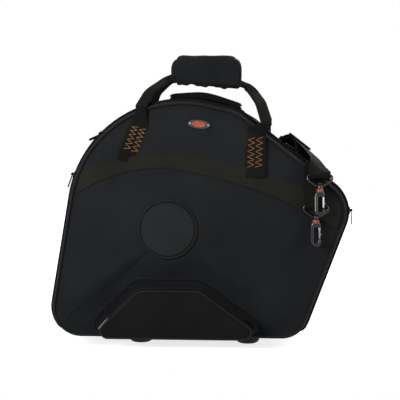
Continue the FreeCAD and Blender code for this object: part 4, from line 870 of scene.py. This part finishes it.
def handle(label, depth, towards, body):
    left, right = (np.array([PIVOTS[k][0], depth, PIVOTS[k][1]]) for k in ("left", "right"))
    seat = np.array([5.0, 15.0 - towards * 14.0, FLOOR + 467.0]) - left
    along = unit(right - left)
    rise = seat - along * (seat @ along)
    path = rounded_path([left + (right - left) * u + rise * v for u, v in WEB_SHARES], 70.0, 4.0)
    # It dives behind the face of the grip a little sooner than a flat arch would
    risen = ((path - left) @ rise) / (rise @ rise)
    dive = 0.16 * smooth(0.45, 0.8, risen) * (1 - smooth(0.88, 1.0, risen))
    path += Y * (seat[1] * dive)[:, None]
    normal = unit(np.cross(along, rise))
    normal *= -towards * np.sign(normal[1])
    across = np.cross(directions(path), normal)
    P = path[:, None] + across[:, None] * WEB_SECTION[None, :, :1] + normal * WEB_SECTION[None, :, 1:]
    uv = weave_map(run_along(path), WEB_SECTION[:, 0])
    web = recalc(grid(label + "_handle_web", P, True, False, True, uv))
    piece(web, WEB, body, "webbing", label + "_web")
    # A rolled bend at each foot
    rolls = [sweep("r", [q - along * 9.6, q + along * 9.6], circle(2.6, 14)) for q in (left, right)]
    piece(recalc(join(label + "_handle_bends", rolls)), WEB, body, "webbing")
    seam = (path - across * 6.6 + normal * 2.55)[6:-6]
    piece(stitches(label + "_handle_seam", seam, normal), DARKTHREAD, body, "webbing")


handle("front", FRONT_BEND, 1, "front_handle")
handle("rear", REAR_BEND, -1, "rear_handle")

# Padded grip halves: ends across, the plane between them, height, and half sizes
GRIP_LEFT, GRIP_RIGHT, GRIP_Y, GRIP_Z = -57.0, 71.5, 15.0, FLOOR + 481.0
GRIP_DEEP, GRIP_TALL, GRIP_ROUND, GRIP_END = 24.0, 25.5, 20.0, 18


def round_in(distance, radius):
    """How far a rounded end has drawn in at a distance from it."""
    left = radius - np.minimum(distance, radius)
    return radius - np.sqrt(np.maximum(radius ** 2 - left ** 2, 0))


def grip(label, towards, body):
    front = towards > 0
    ends = GRIP_END * (1 - np.cos(np.linspace(0, math.pi / 2, 12)))
    middle = np.linspace(GRIP_LEFT + GRIP_END, GRIP_RIGHT - GRIP_END, 70)[1:-1]
    deep, tall, r = GRIP_DEEP + 2.5 * front, GRIP_TALL, GRIP_ROUND
    low = 9.0 if front else GRIP_ROUND
    section = [(0.3, tall), ((deep - r) * 0.7, tall)]
    for a in np.radians(np.linspace(90, 0, 12)):
        section.append((deep - r + r * math.cos(a), tall - r + r * math.sin(a)))
    for a in np.radians(np.linspace(0, -90, 12)):
        section.append((deep - low + low * math.cos(a), -tall + low + low * math.sin(a)))
    section += [((deep - low) * 0.7, -tall), (0.3, -tall)]
    section += [(0.3, z) for z in np.linspace(-tall, tall, 8)[1:-1]]
    out, up = np.array(section).T
    P = []
    for x in np.concatenate([GRIP_LEFT + ends, middle, GRIP_RIGHT - ends[::-1]]):
        end = min(x - GRIP_LEFT, GRIP_RIGHT - x)
        seam = sum(2.6 * math.exp(-((x - at) / 1.5) ** 2) for at in (-48, 62))
        depth, above, below = (1 - (round_in(end, radius) + seam) / size
                               for radius, size in ((10.0, deep), (23.0, tall), (8.0, tall)))
        # The wrap's lower front hangs deeper to the right
        hang = 9.0 * smooth(-50, 66, x) * smooth(2, -24, up) * smooth(8, 20, out) * front
        P.append(np.stack([np.full(len(out), x), GRIP_Y - towards * np.maximum(out * depth, 0.3),
                           GRIP_Z + up * np.where(up > 0, above, below) - hang], 1))
    P = np.array(P)
    soft = wobble(P, 2.0, 30.0, 11.0 + towards) + wobble(P * (0.45, 1.0, 1.6), 2.2, 13.0, 4.0)
    fade = smooth(1.0, 6.0, np.abs(P[:, :, 1] - GRIP_Y))
    fold = 3.2 * np.exp(-((P[:, :, 0] + 40) / 5.0) ** 2 - ((P[:, :, 2] - GRIP_Z + 11) / 8.0) ** 2) * front
    P[:, :, 1] -= towards * (soft * 0.8 - fold) * fade
    P[:, :, 2] += soft * fade * 0.5 * np.sign(P[:, :, 2] - GRIP_Z)
    obj = recalc(grid(label + "_grip_pad", P, True, False, True))
    piece(obj, GRIPM, body, "grip_cloth", label + "_grip")


grip("front", 1, "front_handle")
grip("rear", -1, "rear_handle")

# Loose wavy edge of the wrap, under the front of the grip
u = np.linspace(0, 1, 60)
hang = 4.5 + 9.0 * u + 1.6 * np.sin(u * 19) + 1.0 * np.sin(u * 41 + 1)
x, y = -46 + 112 * u, -9.5 + 1.2 * np.sin(u * 23 + 0.6)
near = np.array([np.stack([x, y + row, GRIP_Z - 22.2 - hang * drop], 1)
                 for row, drop in enumerate((0.0, 0.45, 0.8, 1.0))])
P = np.concatenate([near, near[::-1] + (0, 1.6, 0)]).transpose(1, 0, 2)
piece(recalc(grid("grip_wrap_edge", P, True, False, True)), GRIPM, "front_handle", "grip_cloth")


def crown_place(x):
    """Height of the crown's outline at a place across, and the outward direction there."""
    q = outline(CASE, 0.0, 40, 60, 160)
    q = q[q[:, 1] > FLOOR + 286]
    q = q[np.argsort(q[:, 0])]
    before, z, after = np.interp([x - 2, x, x + 2], q[:, 0], q[:, 1])
    return z, unit(((before - after) / 4, 0, 1.0))


# Haul handle, webbing with a flat padded middle: place across, lift of its middle and thickness
HAUL = ((-66, 1.8, 3.2), (-62, 1.9, 3.4), (-59, 2.2, 3.6), (-56, 4.8, 6.8), (-53, 7.4, 10.4),
        (-15, 8.9, 12.6), (5, 9.6, 14.0), (25, 9.2, 13.2), (62, 7.3, 10.4), (65, 4.8, 6.8), (68, 2.2, 3.6),
        (71, 1.9, 3.4), (75, 1.8, 3.2))
TAB_WIDE = 33.5
stations = []
for x, lift, thick in HAUL:
    z, out = crown_place(x)
    stations.append((np.array([x, 25.0, z]) + out * lift, Y, out))
haul, *lines = ribbon("haul_web", stations, TAB_WIDE, [thick for _, _, thick in HAUL], 8)
piece(haul, WEB, "base", "webbing", "haul_handle")
mid, across, normal = (line[30:-30] for line in lines)
seams = [stitches("s", mid + across * off + normal * 5.6, normal) for off in (-13.5, 13.5)]
piece(join("haul_seams", seams), DARKTHREAD, "base", "webbing")

# Shoulder strap: up over the slope, down the back in a loop, and up again
SLOPE_AT = np.array([79.1, FLOOR + 398.1])
DOWN = unit((OFF_SLOPE[1], 0, -OFF_SLOPE[0]))
OFF = np.array([-DOWN[2], 0, DOWN[0]])
STRAP, STRAP_THICK = 38.0, 2.1
# Where it crosses the base's rim and the back, how far back it hangs, and the depth that it crosses
FRONT_X, BACK_X, HANG, CROSSING = 201.0, 156.0, 118.9, 170


def on_slope(across, depth, lift):
    z = SLOPE_AT[1] + (across - SLOPE_AT[0]) / DOWN[0] * DOWN[2]
    return np.array([across, depth, z]) + OFF * lift


def crossing(back, lift):
    """A place of the strap over the gusset, from its share of the way back and its lift."""
    return on_slope(FRONT_X + (BACK_X - FRONT_X) * back, BASE_RIM + CROSSING * back, lift)


# The lower layer clears the ring and fills the space under the upper one, which arches up to the slide
LOW_LAYER = [(0.0, 5.5), (0.12, 3.6), (0.3, 3.2), (0.39, 6.0), (0.46, 11.5), (0.55, 15.4), (0.65, 15.6),
             (0.74, 14.0), (0.85, 8.0), (0.95, 3.6), (0.985, 2.6)]
HIGH_LAYER = [(0.0, 15.6), (0.12, 16.9), (0.3, 18.5), (0.6, 18.5), (0.8, 18.3), (0.88, 14.5), (0.95, 7.5),
              (0.985, 5.8)]
# Behind the case: distance down and distance off the case's back, on the way down and on the way up
WAY_DOWN = ((0, 0.0), (40, 0.6), (100, 1.2), (160, 1.0), (220, 0.6), (262, 0.2))
WAY_UP = ((240, 26.5), (190, 25.5), (135, 22), (80, 14), (40, 7.5), (8, 4.2))
loop_top = on_slope(BACK_X, HANG, -STRAP / 2)
loop_turn = loop_top - Z * 277 + Y * 13


def hanging(way, out):
    for drop, off in way:
        turned = min(drop / 40.0, 1.0)
        across = unit((DOWN + X) * (1 - turned) + X * turned)
        stations.append((loop_top - Z * drop + Y * off, across, out))


stations = [(crossing(back, lift), DOWN, OFF) for back, lift in LOW_LAYER]
stations.append((on_slope(BACK_X, HANG - 0.5, 1.6), DOWN, unit(OFF + Y)))
stations.append((on_slope(BACK_X, HANG, -9), DOWN, Y))
hanging(WAY_DOWN, Y)
for turn in np.radians((20, 60, 100, 140, 170)):
    radial = -Y * math.cos(turn) - Z * math.sin(turn)
    stations.append((loop_turn + radial * 13, X, -radial))
hanging(WAY_UP, -Y)
stations.append((on_slope(BACK_X, HANG + 2.9, -9), DOWN, -Y))
stations.append((on_slope(BACK_X, HANG + 2.2, 3.8), DOWN, -unit(OFF + Y)))
stations += [(crossing(back, lift), DOWN, -OFF) for back, lift in reversed(HIGH_LAYER)]
piece(ribbon("strap_loop_web", stations, STRAP, STRAP_THICK, 6)[0], WEB, "base", "webbing", "strap_loop")


def placed(path, origin, *axes):
    return origin + np.asarray(path, float) @ np.array(axes)


# Tri-glide on the upper layer
slide_at = crossing(0.75, 21.4)
slide_frame = rounded_path([(0, 9.2, 0), (23.7, 9.2, 0), (23.7, -9.2, 0), (-23.7, -9.2, 0), (-23.7, 9.2, 0),
                            (0, 9.2, 0)], 3.5, 1.2)[:-1]
bars = [tube("g", placed(slide_frame, slide_at, DOWN, Y, OFF), 1.9, 10, True),
        tube("g", placed([(-23.7, 0, 0), (0, 0, 0.2), (23.7, 0, 0)], slide_at, DOWN, Y, OFF), 1.8, 10)]
piece(join("strap_slide", bars), BLACKM, "base", "dark_metal", "tri_glide")

# Strap ends on the lid, each turned round the bar of its hook's eye
BARS = {"upper": np.array([211.5, -113.0, FLOOR + 297.0]), "lower": np.array([205.5, -109.0, FLOOR + 243.0])}
FOLD = 4.57


def around(bar, first, last, count):
    """Stations round the bar, in degrees from the back over the top."""
    out = []
    for a in np.radians(np.linspace(first, last, count)):
        radial = Y * math.cos(a) + Z * math.sin(a)
        out.append((bar + radial * FOLD, X, radial))
    return out


edge_at = on_slope(203.2, LID_FACE, 12.0)
bar = BARS["upper"]
half_way = (edge_at + bar + Z * FOLD) * 0.5 + Z * 2.2
stations = [(on_slope(201, LID_RIM, 15.6), DOWN, OFF), (on_slope(202, -72, 15.0), DOWN, OFF),
            (edge_at, DOWN, OFF), (half_way, unit(X + DOWN), unit((0, -1, 2))), *around(bar, 95, 330, 9),
            (bar + Y * 10 + Z * 1.5, X, unit((0, 1, -2))),
            (edge_at - OFF * 3.4 - Y * 2 + Z * 0.5, unit(X + DOWN), -OFF)]
end = ribbon("strap_end_upper_web", stations, STRAP, STRAP_THICK, 6)[0]
piece(end, WEB, "lid", "webbing", "strap_end_upper")

edge_at = on_slope(203.2, -88.9, 0)
bar = BARS["lower"]
drop = bar + Z * FOLD - edge_at
lay = unit((0, -3, 1))
stations = [(on_slope(201, LID_RIM, 5.5), DOWN, OFF), (on_slope(201, -76, 5.6), DOWN, OFF),
            (edge_at, unit(DOWN + X), unit(OFF - Y * 2)), (edge_at + drop * 0.25, unit(DOWN + 2 * X), lay),
            (edge_at + drop * 0.5, X, lay), (edge_at + drop * 0.8, X, lay), *around(bar, 100, 280, 8),
            (bar + Y * 3.2 + Z * 1.0, X, Y)]
end = ribbon("strap_end_lower_web", stations, STRAP, STRAP_THICK, 6)[0]
piece(end, WEB, "lid", "webbing", "strap_end_lower")

# Rings on their tabs: half width of the ring, how far it reaches out, and its height over the case
RING_HALF, RING_REACH, RING_LIFT = 20.7, 23.7, 6.212


def ring_set(label, origin, ex, ez, raised):
    """A ring and its tab. The ring is raised by so many degrees off the case."""
    tilt = math.radians(raised)
    rx = ex * math.cos(tilt) + ez * math.sin(tilt)
    foot = rounded_path([(0, 0, 0), (0, RING_HALF, 0), (8, RING_HALF, 0)], 3.0, 1.2)
    far = rounded_path([(8, RING_HALF, 0), (RING_REACH, RING_HALF, 0), (RING_REACH, -RING_HALF, 0),
                        (8, -RING_HALF, 0)], 12.5, 1.4)
    back = rounded_path([(8, -RING_HALF, 0), (0, -RING_HALF, 0), (0, 0, 0)], 3.0, 1.2)
    path = np.concatenate([foot, far[1:], back[1:-1]])
    path = placed(path, origin + ez * RING_LIFT, rx, Y, np.cross(rx, Y))
    ring = tube(label + "_ring_wire", path, 2.3, 12, True)
    piece(recalc(ring), BLACKM, "ring_" + label, "dark_metal", label + "_ring")
    pts = [(-34, 3.9), (-22, 3.9), (-11, 4.6), (-5.5, 8.6)]
    for a in np.radians(np.linspace(110, -80, 9)):
        pts.append((4.75 * math.cos(a), RING_LIFT + 4.75 * math.sin(a)))
    pts += [(-4, 1.3), (-18, 1.3), (-34, 1.3)]
    stations = [(origin + ex * x + ez * z, Y, ez if i < 6 else ex if i < 10 else -ez)
                for i, (x, z) in enumerate(pts)]
    tab = ribbon(label + "_ring_web", stations, TAB_WIDE, 2.2, 6)[0]
    piece(tab, WEB, "base", "webbing", label + "_ring_tab")


# The left ring stands on the crown's long arc, 205 from its centre
arc_centre, place = np.array([-30.99, 25.0, FLOOR + 219.88]), math.radians(138)
radial = np.array([math.cos(place), 0, math.sin(place)])
ring_set("left", arc_centre + radial * 205, np.cross(radial, Y), radial, 24)
ring_set("right", on_slope(178, 25, 0), DOWN, OFF, 0)


# Snap hooks, built hanging below the origin
def hang_up(obj, label, lean, material, part, slot, *nodes):
    """Finish of a hook's piece, hung on its bar with a lean in degrees."""
    turn = Matrix.Rotation(-math.radians(lean), 4, "X")
    recalc(obj).data.transform(Matrix.Translation(Vector(BARS[label]) * MM) @ turn)
    obj.data.update()
    piece(obj, material, part + "_" + label, slot, *nodes)


def levels(name, rows, n, x=0.0):
    """A body from its levels: height, half width, half thickness and power (2 is an ellipse)."""
    c, s = circle(1.0, n).T
    return grid(name, np.array([np.stack([x + w * np.sign(c) * np.abs(c) ** (2 / power),
                                          t * np.sign(s) * np.abs(s) ** (2 / power), np.full(n, z)], 1)
                                for z, w, t, power in rows]), caps=True)


EYE = [(0, 0, 0), (21.3, 0, 0), (21.3, 0, -8.4), (6.4, 0, -18.7), (-6.4, 0, -18.7), (-21.3, 0, -8.4),
       (-21.3, 0, 0), (0, 0, 0)]
BARREL = [(2.4, -17.6), (4.2, -17.6), (5.0, -18.4), (5.2, -19.4), (5.2, -24.2), (4.9, -24.6), (4.9, -25.0),
          (5.2, -25.4), (5.2, -27.2), (4.8, -28.0), (2.4, -28.0)]
COLLAR = [(2.6, -24.4), (5.8, -24.4), (6.3, -25.0), (6.5, -30.4), (6.0, -31.2), (2.6, -31.2)]
SHOULDER = [(-28.2, 3.6, 2.6, 2.2), (-28.6, 5.4, 2.9, 2.4), (-29.8, 7.4, 3.2, 2.8), (-32, 8.4, 3.4, 3.2),
            (-35.6, 8.6, 3.4, 3.4), (-37.4, 8.4, 3.2, 3.2), (-38.2, 7.8, 2.6, 3.0)]
POST = [(2.1, -13.6), (3.4, -14.2), (3.6, -15.4), (3.4, -16.2), (2.1, -16.4), (2.1, -29.0)]
GATE = [(-33.0, 0.6, 0.5, 2), (-33.4, 1.5, 1.2, 2), (-34.5, 1.9, 1.35, 2), (-46, 1.6, 1.3, 2),
        (-56, 1.6, 1.3, 2), (-57.0, 1.3, 1.1, 2), (-57.2, 0.7, 0.6, 2)]
THUMB = [(0.4, -1.2), (1.5, -1.0), (1.7, 0), (1.5, 1.0), (0.4, 1.2)]
ARM_HALF = 6.4


def hook_set(label, lean):
    """A snap hook: eye and collar, then the hook on its swivel post, then the gate."""
    wire = tube("w", rounded_path(EYE, 5.0, 1.4)[:-1], 2.25, 12, True)
    eye = join(label + "_eye_wire", [wire, lathe("b", BARREL)])
    hang_up(eye, label, lean, GUN, "eye", "steel", label + "_eye")
    hang_up(lathe(label + "_collar", COLLAR), label, lean, ORANGE, "eye", "enamel")
    shoulder = levels("s", SHOULDER, 28)
    path = [(-6.3, 0, -35.0), (-6.5, 0, -45.0), (-ARM_HALF, 0, -61.8)]
    for a in np.radians(range(20, 180, 20)):
        path.append((-ARM_HALF * math.cos(a), 0, -61.8 - ARM_HALF * math.sin(a)))
    path = curve_through(path + [(ARM_HALF, 0, -61.0), (6.3, 0, -58.0)], 6)
    grow = np.interp(np.linspace(0, 1, len(path)), [0, 0.3, 0.6, 0.9, 1.0], [1.15, 1.0, 1.12, 0.9, 0.6])
    arm = sweep("a", path, circle(3.5, 14, 3.4), up=Y, scale=grow)
    hook = join(label + "_hook_body", [shoulder, arm, lathe("p", POST, 14)])
    hang_up(hook, label, lean, GUN, "hook", "gunmetal", label + "_hook")
    thumb = lathe("t", THUMB, 12)
    thumb.data.transform(Matrix.Translation((8.2 * MM, 0, -50 * MM)))
    gate = join(label + "_gate_bar", [levels("g", GATE, 14, ARM_HALF), thumb])
    hang_up(gate, label, lean, STEEL, "gate", "gunmetal", label + "_gate")


hook_set("upper", 14)
hook_set("lower", 4)

# Pocket: gusset from the lid to the zip line, then the flap
ZIP_Y, FACE_Y = -127.0, -140.0
WALL_STEPS = 14


def pocket_wall(drop):
    """Rows of the gusset, from where it is sewn to the lid out to the zip line."""
    foot = np.array([lid_hit(*q)[0] + Y * 1.2 for q in outline(SEAT, -drop)])
    foot[:, 1] = np.clip(foot[:, 1], None, -82.5)
    start = at_depth(outline(POCKET, -drop), ZIP_Y)
    P = np.array([foot + (start - foot) * share for share in np.linspace(0, 1, WALL_STEPS)])
    inward = unit((P - (-20.0, 0, FLOOR + 46.0)) * (1, 0, 1))
    arch = np.sin(np.linspace(0, math.pi, WALL_STEPS))[:, None]
    return P - inward * (arch * (1.2 + wobble(P, 1.4, 24.0, 7.0)))[:, :, None]


gusset = grid("pocket_side", np.concatenate([pocket_wall(0.0), pocket_wall(2.4)[::-1]]), True, True)
# The gusset's darker nylon is painted shade for the recess between the lid and the flap
piece(recalc(gusset), GUSSET_PAINTED_SHADE, "lid", "nylon", "pocket_gusset")

# Welt where the gusset is sewn to the lid
seat_line = outline(SEAT, 0.4)
seat_line = on_lid(even(np.concatenate([seat_line, seat_line[:1]]), 4.0)[:-1], 0.8)
piece(tube("pocket_seat_welt", seat_line, 1.3, 8, True), NYLON, "lid", "nylon")

# Welt and teeth of the pocket's zip, up the two slopes and across the top
zip_line = rim_path(0.6, ZIP_Y, POCKET)
zip_line = even(without(zip_line, zip_line[:, 2] < FLOOR + 22), 2.6)
outward = -np.cross(directions(zip_line), Y)
outward *= np.sign(outward[len(outward) // 2, 2])
welt = tube("pocket_welt", zip_line + Y * 1.8 + outward * 0.4, 1.1, 8)
piece(recalc(welt), PIPE, "lid", "piping_cloth")
coil = teeth("pocket_teeth", zip_line, outward, (0.8, 1.0, 0.55), (0, -0.4, 0.2))
piece(recalc(coil), TEETH, "lid", "zip_tape", "pocket_zip")

FLAP_ACROSS, FLAP_UP, FLAP_EDGE = 70, 30, 3.0


def flap_side(drop):
    """Rows of the flap's side, from the zip line over its rounded front edge."""
    return np.array(wall(POCKET, drop, -127.4, FACE_Y + drop, FLAP_EDGE, 5, 5))


def flap_face(depth, bulge):
    """Rows of the flap's front, level by level between the sides of its outline."""
    edge = outline(POCKET, -2.6)
    P = []
    for z in np.linspace(edge[:, 1].min() + 0.1, edge[:, 1].max() - 0.1, FLAP_UP):
        ends = []
        for half, pick in ((edge[edge[:, 0] < -50], np.min), (edge[edge[:, 0] >= -50], np.max)):
            a, step = half, np.roll(half, -1, 0) - half
            hit = (a[:, 1] - z) * (a[:, 1] + step[:, 1] - z) <= 0
            hit &= (np.abs(step[:, 1]) > 1e-6) & (np.abs(step[:, 0]) < 60)
            ends.append(pick(a[hit, 0] + (z - a[hit, 1]) * step[hit, 0] / step[hit, 1]))
        x = np.linspace(*ends, FLAP_ACROSS)
        P.append(np.stack([x, np.full(FLAP_ACROSS, depth), np.full(FLAP_ACROSS, z)], 1))
    P = np.array(P)
    across, up = (np.sin(np.linspace(0, math.pi, n)) ** 0.6 for n in (FLAP_ACROSS, FLAP_UP))
    P[:, :, 1] -= up[:, None] * across * (bulge + wobble(P, 1.3, 42.0, 1.0) + wobble(P, 0.5, 15.0, 6.0))
    return P.transpose(1, 0, 2)


side = grid("s", np.concatenate([flap_side(2.4)[::-1], flap_side(0.0)]), True, True)
face = np.concatenate([flap_face(FACE_Y - 0.3, 1.8), flap_face(FACE_Y + 2.2, 1.2)[::-1]])
face = grid("f", face, False, True)
flap = join("pocket_front", [side, face])
# The flap's darker nylon is painted shade on its upright front
piece(recalc(flap), POCKET_PAINTED_SHADE, "pocket_door", "nylon", "pocket_flap")
cord = tube("pocket_cord", rim_path(-1.9, -139.6, POCKET), 1.9, 10, True)
piece(cord, PIPE, "pocket_door", "piping_cloth", "pocket_piping")
seam = stitches("pocket_seam", rim_path(-6.2, -140.9, POCKET), -Y)
piece(seam, DARKTHREAD, "pocket_door", "piping_cloth")

# Seam from the round panel down to the lower left corner
HIP = [(-88.5, 177.5), (-112, 157), (-138, 135), (-162, 115), (-185, 96), (-222, 66), (-241, 47)]
hip = on_lid(even(curve_through([(x, FLOOR - 14 + z) for x, z in HIP], 8), 4.0), 0.1)
piece(tube("hip_seam", hip, 0.75, 8), DARKTHREAD, "lid", "nylon")

# Folded cover over the end of the pocket's zip
COVER = ((84, -127, 45), (92, -126, 39), (99, -125, 31), (105, -124, 22))
stations = [(np.array([x, y, FLOOR + z]), unit((0.35, -1.0, 0.1)), unit((0.8, 0.3, 0.5)))
            for x, y, z in COVER]
piece(ribbon("pocket_zip_end", stations, 11, 2.4, 6)[0], TAPE, "lid", "zip_tape")

# Solids of the part that show as they are, with their materials
for mat, names in ((BADGE, ["badge_plate"]), (RIVET, ["badge_rivets"]), (ENAMEL, ["badge_enamel"]),
                   (BLACKM, ["left_zip_slider", "left_zip_pull", "right_zip_slider", "right_zip_pull"]),
                   (GUN, ["pocket_zip_slider"]), (STEEL, ["pocket_zip_pull"])):
    for name in names:
        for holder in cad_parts[name].material_slots:
            holder.material = mat
